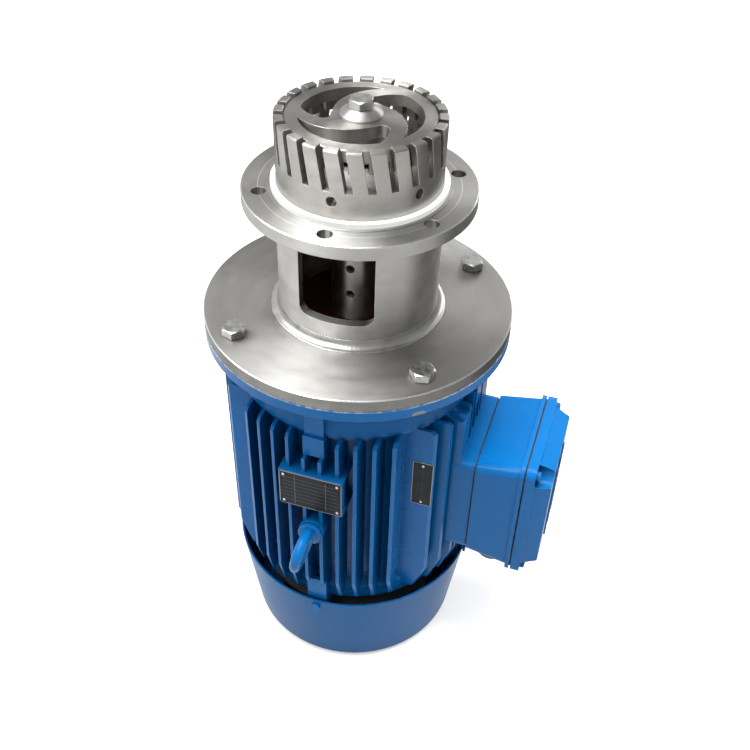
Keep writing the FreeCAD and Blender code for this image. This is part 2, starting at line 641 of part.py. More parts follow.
def make_motor_shaft():
    body = new_body("motor_shaft")
    revolve(body, [
        ("0", "fan_shaft_end"), ("shaft_fan_radius", "fan_shaft_end"),
        ("shaft_fan_radius", "rear_bearing_low"), ("bearing_bore_radius", "rear_bearing_low"),
        ("bearing_bore_radius", "rear_bearing_high"), ("shaft_core_radius", "rear_bearing_high"),
        ("shaft_core_radius", "front_bearing_low"), ("bearing_bore_radius", "front_bearing_low"),
        ("bearing_bore_radius", "front_bearing_high"), ("shaft_end_radius", "front_bearing_high"),
        ("shaft_end_radius", "shaft_end - edge_break"), ("shaft_end_radius - edge_break", "shaft_end"),
        ("0", "shaft_end"),
    ])
    sketch = new_sketch(body, "XY_Plane", "motor_face + key_start")
    rectangle(sketch, "-key_width / 2", "key_width / 2",
              "shaft_end_radius - key_depth", "shaft_end_radius + 1")
    pocket(body, sketch, "key_length")


def make_coupling_key():
    body = new_body("coupling_key")
    sketch = new_sketch(body, "XY_Plane", "motor_face + key_start")
    floor = "shaft_end_radius - key_depth"
    rectangle(sketch, "-key_width / 2", "key_width / 2", floor, f"{floor} + key_height")
    pad(body, sketch, "key_length")


def make_bearing(prefix, low, high):
    """Deep groove ball bearing: two rings, the balls and their cage."""
    middle = f"(({low}) + bearing_width / 2)"
    race = "(ball_radius + race_clearance)"
    half = f"sqrt({race} ^ 2 - race_rim ^ 2)"
    inner_rim = "ball_circle_radius - race_rim"
    outer_rim = "ball_circle_radius + race_rim"
    body = new_body(prefix + "_bearing_inner_ring")
    revolve(body, [
        ("bearing_bore_radius", low), (inner_rim, low), (inner_rim, f"{middle} - {half}", race, -1),
        (inner_rim, f"{middle} + {half}"), (inner_rim, high), ("bearing_bore_radius", high),
    ])
    body = new_body(prefix + "_bearing_outer_ring")
    revolve(body, [
        (outer_rim, low), ("bearing_outer_radius", low), ("bearing_outer_radius", high),
        (outer_rim, high), (outer_rim, f"{middle} + {half}", race, -1), (outer_rim, f"{middle} - {half}"),
    ])
    make_balls(prefix + "_bearing_balls", middle)
    body = ring(prefix + "_bearing_cage", "ball_circle_radius - cage_wall / 2",
                "ball_circle_radius + cage_wall / 2", f"{middle} - cage_half_height",
                f"{middle} + cage_half_height")
    sketch = new_sketch(body, "XZ_Plane", "ball_circle_radius - cage_wall")
    circle(sketch, "0", middle, "ball_radius + cage_pocket_gap")
    window = pocket(body, sketch, "2 * cage_wall")
    around(body, [window], "balls")


def make_balls(label, middle):
    """Balls as spheres spaced round the ball circle."""
    spheres = []
    for number in range(int(value("balls"))):
        ball = doc.addObject("Part::Sphere", f"{label}_{number}")
        ball.setExpression("Radius", bound("ball_radius"))
        angle = f"({number} * 360 / balls - 90)"
        ball.setExpression("Placement.Base.x", bound(f"ball_circle_radius * cos{angle}"))
        ball.setExpression("Placement.Base.y", bound(f"ball_circle_radius * sin{angle}"))
        ball.setExpression("Placement.Base.z", bound(middle))
        spheres.append(ball)
    group = doc.addObject("Part::Compound", label)
    group.Label = label
    group.Links = spheres


def make_small_motor_parts():
    ring("preload_washer", "ball_circle_radius + race_rim", "bearing_outer_radius - running_clearance",
         "rear_bearing_high", "rear_bearing_high + wave_washer_height")
    body = new_body("shaft_oil_seal")
    low = "spigot_top - oil_seal_height"
    lip = "shaft_end_radius + running_clearance"
    revolve(body, [
        ("shaft_core_radius", low), ("oil_seal_radius", low), ("oil_seal_radius", "spigot_top"),
        ("shaft_core_radius - 1", "spigot_top"), (lip, f"{low} + oil_seal_height / 2"),
        (lip, f"{low} + oil_seal_height / 4"),
    ])


def make_eyebolt():
    """Lifting eye: a forged ring on a collar, screwed into the boss on the frame."""
    seat = "-eye_boss_reach"
    parts = []
    for name, radius, start, length in (
            ("eye_thread", "eye_thread_radius", f"{seat} + eye_thread_depth", "eye_thread_depth"),
            ("eye_collar", "eye_collar_radius", seat, "eye_collar_height")):
        item = doc.addObject("Part::Cylinder", name)
        item.setExpression("Radius", bound(radius))
        item.setExpression("Height", bound(length))
        item.Placement.Rotation = FreeCAD.Rotation(FreeCAD.Vector(1, 0, 0), 90)
        item.setExpression("Placement.Base.y", bound(start))
        item.setExpression("Placement.Base.z", bound("eye_height"))
        parts.append(item)
    eye = doc.addObject("Part::Torus", "eye_ring")
    eye.setExpression("Radius1", bound("eye_ring_radius"))
    eye.setExpression("Radius2", bound("eye_wire_radius"))
    eye.Placement.Rotation = FreeCAD.Rotation(FreeCAD.Vector(0, 1, 0), value("90 + eye_turn"))
    eye.setExpression("Placement.Base.y",
                      bound(f"{seat} - eye_collar_height - eye_ring_radius - eye_wire_radius / 3"))
    eye.setExpression("Placement.Base.z", bound("eye_height"))
    parts.append(eye)
    fused = doc.addObject("Part::MultiFuse", "lifting_eyebolt")
    fused.Label = "lifting_eyebolt"
    fused.Shapes = parts


# Plates on the motor

def make_plates():
    body = new_body("nameplate")
    middle = "(bracket_low + bracket_high) / 2"
    sketch = new_sketch(body, "XZ_Plane", "bracket_reach")
    rounded_rectangle(sketch, "0", middle, "nameplate_width / 2", "nameplate_height / 2", "3")
    pad(body, sketch, "plate_sheet")
    half_width = "(nameplate_width / 2 - rivet_inset)"
    half_height = "(nameplate_height / 2 - rivet_inset)"
    spots = [(f"{x} * {half_width}", f"{middle} + {y} * {half_height}") for x in (-1, 1) for y in (-1, 1)]
    make_rivets("nameplate_rivets", "bracket_reach + plate_sheet", spots)
    body = new_body("side_plate")
    left = "side_plate_start"
    centre = f"{left} + side_plate_width / 2"
    sketch = new_sketch(body, "XZ_Plane", "side_face")
    rounded_rectangle(sketch, centre, "side_plate_low + side_plate_height / 2",
                      "side_plate_width / 2", "side_plate_height / 2", "2")
    pad(body, sketch, "plate_sheet")
    spots = [(centre, "side_plate_low + rivet_inset"),
             (centre, "side_plate_low + side_plate_height - rivet_inset")]
    make_rivets("side_plate_rivets", "side_face + plate_sheet", spots)


def make_rivets(label, face, spots):
    body = new_body(label)
    sketch = new_sketch(body, "XZ_Plane", face)
    for x, z in spots:
        circle(sketch, x, z, "rivet_radius")
    pad(body, sketch, "rivet_head")


# Terminal box

def box_section(body, offset, half_width, half_height, corner="box_corner"):
    sketch = new_sketch(body, "YZ_Plane", offset)
    rounded_rectangle(sketch, "0", "box_centre_height", half_width, half_height, corner)
    return sketch


def make_terminal_box():
    body = new_body("terminal_box")
    lip_low = "box_mouth - box_lip_depth"
    loft(body, "AdditiveLoft", [
        box_section(body, "box_low", "box_half_width", "box_foot_half_height"),
        box_section(body, "box_mouth", "box_mouth_half_width", "box_mouth_half_height")])
    pad(body, box_section(body, lip_low, "box_mouth_half_width + box_lip",
                          "box_mouth_half_height + box_lip"), "box_lip_depth")
    sketch = new_sketch(body, "XY_Plane", "box_centre_height - box_mouth_half_height - entry_collar")
    for side in (-1, 1):
        circle(sketch, "box_low + box_depth / 2", f"{side} * entry_spacing / 2", "entry_radius + box_wall")
    pad(body, sketch, "2 * entry_collar")
    loft(body, "SubtractiveLoft", [
        box_section(body, "box_low + box_wall", "box_half_width - box_wall",
                    "box_foot_half_height - box_wall", "box_corner - box_wall"),
        box_section(body, "box_mouth", "box_mouth_half_width - box_wall",
                    "box_mouth_half_height - box_wall", "box_corner - box_wall")])
    sketch = new_sketch(body, "YZ_Plane", "box_low")
    rounded_rectangle(sketch, "0", "neck_centre", "neck_half_width - neck_wall",
                      "(neck_high - neck_low) / 2 - neck_wall", "neck_corner")
    pocket(body, sketch, "box_wall")
    sketch = new_sketch(body, "XY_Plane", "box_centre_height - box_mouth_half_height - 2 * entry_collar")
    for side in (-1, 1):
        circle(sketch, "box_low + box_depth / 2", f"{side} * entry_spacing / 2", "entry_radius")
    pocket(body, sketch, "4 * entry_collar")


def make_box_gaskets():
    body = new_body("box_gasket")
    half_height = "(neck_high - neck_low) / 2"
    sketch = new_sketch(body, "YZ_Plane", "neck_reach")
    rounded_rectangle(sketch, "0", "neck_centre", "neck_half_width - 1",
                      f"{half_height} - 1", "neck_corner")
    rounded_rectangle(sketch, "0", "neck_centre", "neck_half_width - neck_wall",
                      f"{half_height} - neck_wall", "neck_corner")
    pad(body, sketch, "gasket_sheet")
    body = new_body("lid_gasket")
    sketch = box_section(body, "box_mouth", "box_mouth_half_width", "box_mouth_half_height")
    rounded_rectangle(sketch, "0", "box_centre_height", "box_mouth_half_width - box_wall",
                      "box_mouth_half_height - box_wall", "box_corner - box_wall")
    pad(body, sketch, "gasket_sheet")


def make_lid():
    body = new_body("terminal_lid")
    rim_width = "box_mouth_half_width + box_lip"
    rim_height = "box_mouth_half_height + box_lip"
    pad(body, box_section(body, "lid_low", rim_width, rim_height), "lid_rim")
    loft(body, "AdditiveLoft", [
        box_section(body, "lid_dome_low", f"{rim_width} - 2", f"{rim_height} - 2"),
        box_section(body, "lid_top", f"{rim_width} - lid_dome_inset", f"{rim_height} - lid_dome_inset")])
    loft(body, "SubtractiveLoft", [
        box_section(body, "lid_low", "box_mouth_half_width - 2 * box_wall",
                    "box_mouth_half_height - 2 * box_wall", "box_corner - box_wall"),
        box_section(body, "lid_top - lid_wall", "box_mouth_half_width - 4 * box_wall",
                    "box_mouth_half_height - 4 * box_wall", "box_corner - box_wall")])
    sketch = new_sketch(body, "YZ_Plane", "lid_top - lid_pocket_depth")
    for y, z in lid_corners():
        circle(sketch, y, z, "lid_pocket_radius")
    pocket(body, sketch, "lid_pocket_depth + 1")
    sketch = new_sketch(body, "YZ_Plane", "lid_low")
    for y, z in lid_corners():
        circle(sketch, y, z, "lid_screw_radius + 0.3")
    pocket(body, sketch, "lid_rim")
    sketch = new_sketch(body, "YZ_Plane", "lid_top - 0.5")
    for number in (-1, 0, 1):
        centre = f"{number} * lid_rib_pitch"
        rectangle(sketch, f"{centre} - lid_rib_width / 2", f"{centre} + lid_rib_width / 2",
                  "box_centre_height - lid_rib_length / 2", "box_centre_height + lid_rib_length / 2")
    pad(body, sketch, "lid_rib_height + 0.5")


def lid_corners():
    half_width = "(box_mouth_half_width - lid_pocket_inset)"
    half_height = "(box_mouth_half_height - lid_pocket_inset)"
    return [(f"{y} * {half_width}", f"box_centre_height + {z} * {half_height}")
            for y in (-1, 1) for z in (-1, 1)]


def make_lid_screws():
    body = new_body("lid_screws")
    seat = "lid_top - lid_pocket_depth"
    sketch = new_sketch(body, "YZ_Plane", "lid_low")
    for y, z in lid_corners():
        circle(sketch, y, z, "lid_screw_radius")
    pad(body, sketch, f"{seat} - lid_low")
    sketch = new_sketch(body, "YZ_Plane", seat)
    for y, z in lid_corners():
        circle(sketch, y, z, "lid_screw_head_radius")
    pad(body, sketch, "lid_screw_head")


def make_entry_plugs():
    body = new_body("entry_plugs")
    face = "box_centre_height - box_mouth_half_height - entry_collar"
    sketch = new_sketch(body, "XY_Plane", face)
    for side in (-1, 1):
        circle(sketch, "box_low + box_depth / 2", f"{side} * entry_spacing / 2", "entry_radius")
    pad(body, sketch, "2 * entry_collar")
    sketch = new_sketch(body, "XY_Plane", f"{face} - entry_head_height")
    for side in (-1, 1):
        circle(sketch, "box_low + box_depth / 2", f"{side} * entry_spacing / 2", "entry_head")
    pad(body, sketch, "entry_head_height")


def stud_spots():
    return [(f"{column} * stud_pitch", f"box_centre_height + {row} * stud_row / 2")
            for column in (-1, 0, 1) for row in (-1, 1)]


def make_terminal_board():
    """Moulded board on two feet that rest on the floor of the box."""
    body = new_body("terminal_board")
    floor = "box_low + box_wall"
    foot_half = "box_foot_half_height - 2 * box_wall"
    sketch = new_sketch(body, "YZ_Plane", f"{floor} + board_pillar")
    rectangle(sketch, "-board_half_width", "board_half_width",
              f"box_centre_height - ({foot_half})", f"box_centre_height + ({foot_half})")
    pad(body, sketch, "board_thick")
    sketch = new_sketch(body, "YZ_Plane", floor)
    for side in (-1, 1):
        near = f"box_centre_height + {side} * ({foot_half})"
        far = f"box_centre_height + {side} * (({foot_half}) - board_pillar / 2)"
        low, high = (near, far) if side < 0 else (far, near)
        rectangle(sketch, "-board_half_width", "board_half_width", low, high)
    pad(body, sketch, "board_pillar")
    body = new_body("terminal_studs")
    top = f"{floor} + board_pillar + board_thick"
    sketch = new_sketch(body, "YZ_Plane", top)
    for y, z in stud_spots():
        circle(sketch, y, z, "stud_radius")
    pad(body, sketch, "stud_length")
    sketch = new_sketch(body, "YZ_Plane", f"{top} + link_thick")
    for y, z in stud_spots():
        circle(sketch, y, z, "stud_nut")
    pad(body, sketch, "stud_nut_height")
    make_links(top)


def make_links(top):
    """Three straps, one across each pair of studs."""
    body = new_body("terminal_links")
    sketch = new_sketch(body, "YZ_Plane", top)
    for column in (-1, 0, 1):
        centre = f"{column} * stud_pitch"
        rectangle(sketch, f"{centre} - link_width / 2", f"{centre} + link_width / 2",
                  "box_centre_height - stud_row / 2 - link_width / 2",
                  "box_centre_height + stud_row / 2 + link_width / 2")
        for row in (-1, 1):
            circle(sketch, centre, f"box_centre_height + {row} * stud_row / 2",
                   "stud_radius + running_clearance")
    pad(body, sketch, "link_thick")


# Lantern

def make_base_plate():
    body = new_body("lantern_base_plate")
    recess = "motor_face + spigot_height + spigot_clearance"
    wide = "spigot_radius + spigot_clearance"
    revolve(body, [
        ("tube_bore", recess), (wide, recess), (wide, "motor_face"),
        ("flange_radius - edge_break", "motor_face"), ("flange_radius", "motor_face + edge_break"),
        ("flange_radius", "plate_top - edge_break"), ("flange_radius - edge_break", "plate_top"),
        ("tube_bore", "plate_top"),
    ])
    add_foot_holes(body, "motor_face", "plate_thick")


def make_tube():
    body = ring("lantern_tube", "tube_bore", "tube_radius", "plate_top", "vessel_flange_low")
    low = "plate_top + window_sill"
    high = "vessel_flange_low - window_head"
    sketch = new_sketch(body, "XZ_Plane", "0")
    rounded_rectangle(sketch, "window_shift", f"({low} + {high}) / 2", "window_width / 2",
                      f"({high} - ({low})) / 2", "window_corner")
    pocket(body, sketch, "tube_radius + 1")


def make_welds():
    """Fillet welds at both ends of the lantern tube, slightly hollow."""
    body = new_body("lantern_weld_beads")
    revolve(body, [("tube_radius", "plate_top"),
                   ("tube_radius + foot_weld", "plate_top", "foot_weld * 1.6", -1),
                   ("tube_radius", "plate_top + foot_weld")])
    revolve(body, [("tube_radius", "vessel_flange_low - head_weld", "head_weld * 1.6", -1),
                   ("tube_radius + head_weld", "vessel_flange_low"),
                   ("tube_radius", "vessel_flange_low")])


def make_vessel_flange():
    body = new_body("vessel_flange")
    bore = "mixer_shaft_radius + shaft_hole_clearance"
    spigot = "stator_bore - stator_fit"
    rim = "vessel_flange_radius"
    revolve(body, [
        (bore, "vessel_flange_low"), (f"{rim} - edge_break", "vessel_flange_low"),
        (rim, "vessel_flange_low + edge_break"), (rim, "vessel_flange_top - edge_break"),
        (f"{rim} - edge_break", "vessel_flange_top"), ("raised_face_radius", "vessel_flange_top"),
        ("raised_face_radius", "raised_face"), (spigot, "raised_face"), (spigot, "seat_spigot_top"),
        ("seal_pocket_radius", "seat_spigot_top"), ("seal_pocket_radius", "seal_pocket_low"),
        (bore, "seal_pocket_low"),
    ])
    sketch = new_sketch(body, "XY_Plane", "vessel_flange_low - 1")
    circle(sketch, "0", "-vessel_hole_circle", "vessel_hole_radius")
    hole = pocket(body, sketch, "vessel_flange_thick + 2")
    around(body, [hole], "vessel_holes")


def make_foot_bolts():
    """Through bolts with heads on the lantern plate and nuts under the motor flange."""
    spot = ("foot_bolt_circle * cos(45)", "foot_bolt_circle * sin(45)")
    nut_low = "(motor_flange_low - foot_nut_height)"
    body = new_body("foot_bolts")
    sketch = new_sketch(body, "XY_Plane", f"{nut_low} - 2")
    circle(sketch, *spot, "foot_bolt_radius")
    shank = pad(body, sketch, f"plate_top - {nut_low} + 2")
    sketch = new_sketch(body, "XY_Plane", "plate_top")
    hexagon(sketch, *spot, "foot_bolt_flats")
    head = pad(body, sketch, "foot_bolt_head")
    around(body, [shank, head], "foot_bolts")
    body = new_body("foot_nuts")
    sketch = new_sketch(body, "XY_Plane", nut_low)
    hexagon(sketch, *spot, "foot_bolt_flats")
    circle(sketch, *spot, "foot_bolt_radius")
    nut = pad(body, sketch, "foot_nut_height")
    around(body, [nut], "foot_bolts")


# Shearing head

def make_stator():
    """Ring with slanted slots open at the top, held by six radial screws."""
    body = new_body("stator_ring")
    revolve(body, [
        ("stator_bore", "raised_face"), ("stator_radius", "raised_face"),
        ("stator_radius", "stator_top - stator_bevel"), ("stator_radius - stator_bevel", "stator_top"),
        ("stator_bore + stator_bevel / 2", "stator_top"), ("stator_bore", "stator_top - stator_bevel / 2"),
    ])
    floor = "stator_top - stator_slot_depth"
    over = "stator_top + 1"
    half = "stator_slot_width / 2"
    shift = "stator_radius * sin(stator_slot_turn)"
    lean = f"{shift} * (stator_slot_depth + 1) / stator_slot_depth"
    sketch = new_sketch(body, "XZ_Plane", "stator_bore / 2", "stator_turn")
    outline(sketch, [
        (f"{shift} - {half}", floor), (f"{shift} + {half}", floor),
        (f"{shift} + {half} - {lean}", over), (f"{shift} - {half} - {lean}", over),
    ])
    slot = pocket(body, sketch, "stator_radius")
    around(body, [slot], "stator_slots")
    sketch = new_sketch(body, "XZ_Plane", "stator_bore - 1")
    circle(sketch, "0", "raised_face + pin_height", "pin_radius")
    hole = pocket(body, sketch, "stator_radius - stator_bore + 2")
    around(body, [hole], "stator_pins")


def make_stator_screws():
    body = new_body("stator_grub_screws")
    sketch = new_sketch(body, "XZ_Plane", "stator_bore + running_clearance")
    circle(sketch, "0", "raised_face + pin_height", "pin_radius")
    screw = pad(body, sketch, "stator_radius - stator_bore - pin_recess")
    around(body, [screw], "stator_pins")


def make_rotor():
    """Toothed disc with three swirl windows, on a keyed hub."""
    body = new_body("shear_rotor")
    bore = "rotor_seat_radius + running_clearance"
    tooth = "rotor_radius - rotor_wall"
    revolve(body, [
        (bore, "rotor_hub_low"), ("rotor_hub_radius", "rotor_hub_low"),
        ("rotor_hub_radius", "rotor_plate_low"), (tooth, "rotor_plate_low"), (tooth, "rotor_low"),
        ("rotor_radius", "rotor_low"), ("rotor_radius", "rotor_top - edge_break"),
        ("rotor_radius - edge_break", "rotor_top"), (bore, "rotor_top"),
    ])
    cut_swirl_windows(body)
    sketch = new_sketch(body, "XZ_Plane", f"{tooth} - 1", "rotor_turn")
    rectangle(sketch, "-rotor_slot_width / 2", "rotor_slot_width / 2", "rotor_low - 1", "rotor_plate_low")
    slot = pocket(body, sketch, "rotor_wall + 2")
    around(body, [slot], "rotor_slots")
    sketch = new_sketch(body, "XY_Plane", "rotor_hub_low")
    rectangle(sketch, "-rotor_key_width / 2", "rotor_key_width / 2", "0",
              "rotor_seat_radius + rotor_key_height / 2")
    pocket(body, sketch, "rotor_key_length")


def polar(radius, angle):
    return (f"({radius}) * cos({angle})", f"({radius}) * sin({angle})")


def cut_swirl_windows(body):
    """Comma-shaped windows: a sharp tip, a long inner sweep and a round lobe."""
    outer = "swirl_outer_radius"
    tip = polar(outer, "swirl_tip_angle")
    shoulder = polar(outer, "swirl_tip_angle + swirl_sweep")
    lobe = "swirl_lobe_radius"
    lobe_out = polar(f"swirl_lobe_centre + {lobe} / 2", "swirl_lobe_angle - 1.5")
    lobe_end = polar("swirl_lobe_centre - 1", "swirl_lobe_angle + 3.5")
    inside = polar("swirl_inner_radius + 1", "swirl_inner_angle + 14")
    sweep = polar("swirl_inner_radius", "swirl_inner_angle")
    sketch = new_sketch(body, "XY_Plane", "rotor_plate_low - 1")
    outline(sketch, [
        (*tip, outer, 1), (*shoulder, "swirl_outer_radius / 1.5", 1),
        (*lobe_out, "swirl_lobe_radius * 0.7", 1),
        (*lobe_end, "swirl_lobe_radius * 0.8", 1), (*inside, "swirl_inner_radius * 1.6", -1),
        (*sweep, "swirl_outer_radius * 0.86", -1),
    ])
    window = pocket(body, sketch, "rotor_plate_thick + 2")
    around(body, [window], "swirl_windows")


def make_rotor_fixing():
    ring("stator_gasket", "stator_radius + gasket_gap", "stator_radius + gasket_gap + gasket_width",
         "raised_face", "raised_face + gasket_height")
    body = new_body("rotor_key")
    sketch = new_sketch(body, "XY_Plane", "rotor_hub_low")
    rectangle(sketch, "-rotor_key_width / 2", "rotor_key_width / 2",
              "rotor_seat_radius - rotor_key_height / 2", "rotor_seat_radius + rotor_key_height / 2")
    pad(body, sketch, "rotor_key_length")
    body = new_body("rotor_cap_washer")
    bore = "rotor_bolt_radius + running_clearance"
    revolve(body, [
        (bore, "rotor_top"), ("cap_radius", "rotor_top"),
        ("cap_radius", "rotor_top + cap_edge", "cap_radius", 1),
        ("cap_top_radius", "rotor_top + cap_height"), (bore, "rotor_top + cap_height"),
    ])
    body = new_body("rotor_bolt")
    seat = "rotor_top + cap_height"
    sketch = new_sketch(body, "XY_Plane", f"{seat} - rotor_bolt_length")
    circle(sketch, "0", "0", "rotor_bolt_radius")
    pad(body, sketch, "rotor_bolt_length")
    sketch = new_sketch(body, "XY_Plane", seat)
    hexagon(sketch, "0", "0", "rotor_bolt_flats")
    pad(body, sketch, "rotor_bolt_head")


# Mixer shaft and mechanical seal

def make_mixer_shaft():
    """Hollow shaft that slides over the motor shaft and carries the rotor."""
    body = new_body("mixer_shaft")
    bore = "shaft_end_radius + running_clearance"
    drill = "rotor_top + cap_height - rotor_bolt_length - sleeve_gap"
    revolve(body, [
        (bore, "sleeve_low"), ("sleeve_radius", "sleeve_low"),
        ("sleeve_radius", "sleeve_high - sleeve_cone"), ("mixer_shaft_radius", "sleeve_high"),
        ("mixer_shaft_radius", "rotor_hub_low"), ("rotor_seat_radius", "rotor_hub_low"),
        ("rotor_seat_radius", "rotor_top - edge_break"), ("rotor_bolt_radius", "rotor_top - edge_break"),
        ("rotor_bolt_radius", drill), ("0", drill), ("0", "shaft_end + sleeve_gap"),
        (bore, "shaft_end + sleeve_gap"),
    ])
    sketch = new_sketch(body, "XZ_Plane", "shaft_end_radius - 1")
    for row in (0, 1):
        circle(sketch, "0", f"motor_face + set_screw_low + {row} * set_screw_pitch", "set_screw_radius")
    pocket(body, sketch, "sleeve_radius")
    sketch = new_sketch(body, "XY_Plane", "sleeve_low")
    rectangle(sketch, "-key_width / 2", "key_width / 2", "shaft_end_radius - 1",
              "shaft_end_radius - key_depth + key_height + running_clearance")
    pocket(body, sketch, "shaft_end + sleeve_gap - sleeve_low")
    sketch = new_sketch(body, "XY_Plane", "rotor_hub_low")
    rectangle(sketch, "-rotor_key_width / 2", "rotor_key_width / 2",
              "rotor_seat_radius - rotor_key_height / 2", "rotor_seat_radius + 1")
    pocket(body, sketch, "rotor_key_length")


def make_set_screws():
    body = new_body("sleeve_set_screws")
    sketch = new_sketch(body, "XZ_Plane", "shaft_end_radius")
    for row in (0, 1):
        circle(sketch, "0", f"motor_face + set_screw_low + {row} * set_screw_pitch", "set_screw_radius")
    pad(body, sketch, "sleeve_radius - shaft_end_radius - set_screw_recess")


def make_seal():
    """Single mechanical seal: seat in the flange, spring-loaded ring on the shaft."""
    on_shaft = "mixer_shaft_radius + running_clearance"
    seat_bore = "mixer_shaft_radius + 0.8"
    neck = "seal_pocket_radius - seat_step_width"
    body = new_body("seal_seat")
    revolve(body, [
        (seat_bore, "seal_pocket_low"), (neck, "seal_pocket_low"), (neck, "seal_pocket_low + seat_step"),
        ("seal_pocket_radius", "seal_pocket_low + seat_step"), ("seal_pocket_radius", "seal_face"),
        (seat_bore, "seal_face"),
    ])
    body = new_body("seal_seat_oring")
    sketch = new_sketch(body)
    circle(sketch, "seal_pocket_radius - seat_step_width / 2", "seal_pocket_low + seat_step / 2",
           "seat_step / 2 - running_clearance")
    feature(body, "Revolution", sketch, ReferenceAxis=(sketch, ["V_Axis"]), Angle=360)
    ring("seal_rotating_ring", on_shaft, "seal_ring_radius", "seal_ring_low", "seal_ring_high")
    body = new_body("seal_bellows")
    collar = "seal_ring_high + bellows_flange"
    revolve(body, [
        (on_shaft, "seal_ring_high"), ("bellows_radius", "seal_ring_high"), ("bellows_radius", collar),
        ("bellows_neck_radius", collar), ("bellows_neck_radius", "retainer_low"),
        (on_shaft, "retainer_low"),
    ])
    ring("seal_retainer", on_shaft, "retainer_radius", "retainer_low", "retainer_low + retainer_height")
    make_seal_spring()


def make_seal_spring():
    """Square-wire compression spring between the bellows and its retainer."""
    body = new_body("seal_spring")
    sketch = new_sketch(body)
    seat = "seal_ring_high + bellows_flange + running_clearance"
    rectangle(sketch, "spring_radius - spring_wire", "spring_radius + spring_wire",
              seat, f"{seat} + 2 * spring_wire")
    spring = feature(body, "AdditiveHelix", sketch, ReferenceAxis=(sketch, ["V_Axis"]))
    spring.Mode = "pitch-height-angle"
    spring.setExpression("Pitch", bound("spring_pitch"))
    travel = "bellows_height - bellows_flange - 2 * spring_wire - 2 * running_clearance"
    spring.setExpression("Height", bound(travel))


def build():
    fill_sheets()
    make_fan_cowl()
    make_cowl_screws()
    make_fan()
    make_circlip()
    make_rear_shield()
    make_frame()
    make_front_shield()
    make_shield_screws("drive_end_screws", "frame_top - shield_screw_grip",
                       "frame_top + shield_lug_height", "frame_top + shield_lug_height")
    make_shield_screws("fan_end_screws", "frame_low - rear_lug_drop",
                       "frame_low + shield_screw_grip", "frame_low - rear_lug_drop - shield_screw_head")
    make_core()
    make_motor_shaft()
    make_coupling_key()
    make_bearing("drive_end", "front_bearing_low", "front_bearing_high")
    make_bearing("fan_end", "rear_bearing_low", "rear_bearing_high")
    make_small_motor_parts()
    make_eyebolt()
    make_plates()
    make_terminal_box()
    make_box_gaskets()
    make_lid()
    make_lid_screws()
    make_entry_plugs()
    make_terminal_board()
    make_base_plate()
    make_tube()
    make_welds()
    make_vessel_flange()
    make_foot_bolts()
    make_stator()
    make_stator_screws()
    make_rotor()
    make_rotor_fixing()
    make_mixer_shaft()
    make_set_screws()
    make_seal()
    doc.recompute()


def sub_parts():
    """Every finished body, and the groups made of Part primitives."""
    bodies = [item for item in doc.Objects if item.TypeId == "PartDesign::Body"]
    groups = [item for item in doc.Objects if item.TypeId in ("Part::Compound", "Part::MultiFuse")]
    return bodies + groups


def check_and_write():
    for item in doc.Objects:
        if "Invalid" in item.State or "Error" in item.State:
            raise RuntimeError(f"{item.Label} failed: {item.State}")
    os.makedirs("parts", exist_ok=True)
    for item in sub_parts():
        if item.Shape.isNull() or not item.Shape.isValid():
            raise RuntimeError(f"{item.Label} has no valid shape")
        item.Shape.exportStep(f"parts/{item.Label}.step")


build()
check_and_write()
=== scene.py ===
"""Looks for the high shear mixer: finishes for its parts, and finer meshes for its small ones."""
import json
from math import cos, pi, radians, sin, tan

import bmesh
import bpy
from mathutils import Matrix, Vector


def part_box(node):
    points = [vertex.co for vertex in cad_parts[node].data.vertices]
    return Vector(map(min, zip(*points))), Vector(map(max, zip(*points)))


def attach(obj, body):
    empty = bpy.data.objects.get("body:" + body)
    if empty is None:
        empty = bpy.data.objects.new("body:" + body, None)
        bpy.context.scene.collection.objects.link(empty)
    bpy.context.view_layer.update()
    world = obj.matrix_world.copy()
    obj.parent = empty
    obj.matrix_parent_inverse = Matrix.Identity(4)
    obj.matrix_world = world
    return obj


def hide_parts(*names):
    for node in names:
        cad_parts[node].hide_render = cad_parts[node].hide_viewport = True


bl_info = {
    "name": "High Shear Mixer Looks",
    "version": (1, 0, 0),
    "blender": (4, 5, 0),
    "location": "View3D > Sidebar > Mixer",
    "description": "Finishes and fine pieces for a flange-driven high shear mixer",
    "category": "Object",
}

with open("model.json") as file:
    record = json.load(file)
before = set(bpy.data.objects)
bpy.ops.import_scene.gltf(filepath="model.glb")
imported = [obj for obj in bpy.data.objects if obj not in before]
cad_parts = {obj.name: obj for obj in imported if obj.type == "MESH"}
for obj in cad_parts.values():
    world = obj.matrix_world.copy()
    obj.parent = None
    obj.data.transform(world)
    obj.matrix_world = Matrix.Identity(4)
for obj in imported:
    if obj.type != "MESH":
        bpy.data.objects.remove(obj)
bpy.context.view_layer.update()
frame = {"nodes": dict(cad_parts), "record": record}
MM = 0.001
FLANGE_FACE = frame["record"]["mounts"][0]["pos_m"][2]
SCRIBED_RING = 106 * MM    # radius of the flange's bolt circle
AXIS_HOLE = 0.0002         # left open in the middle of turned ends, too small to see
CROWN_HOLE = 0.0005        # the same on hexagon heads, closed by a face
UP = Vector((0, 0, 1))
FRONT = Vector((0, -1, 0))
SIDE = Vector((1, 0, 0))


def level(node, top=True):
    """Highest or lowest level of a part, in metres."""
    low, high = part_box(node)
    return high.z if top else low.z


# Settings

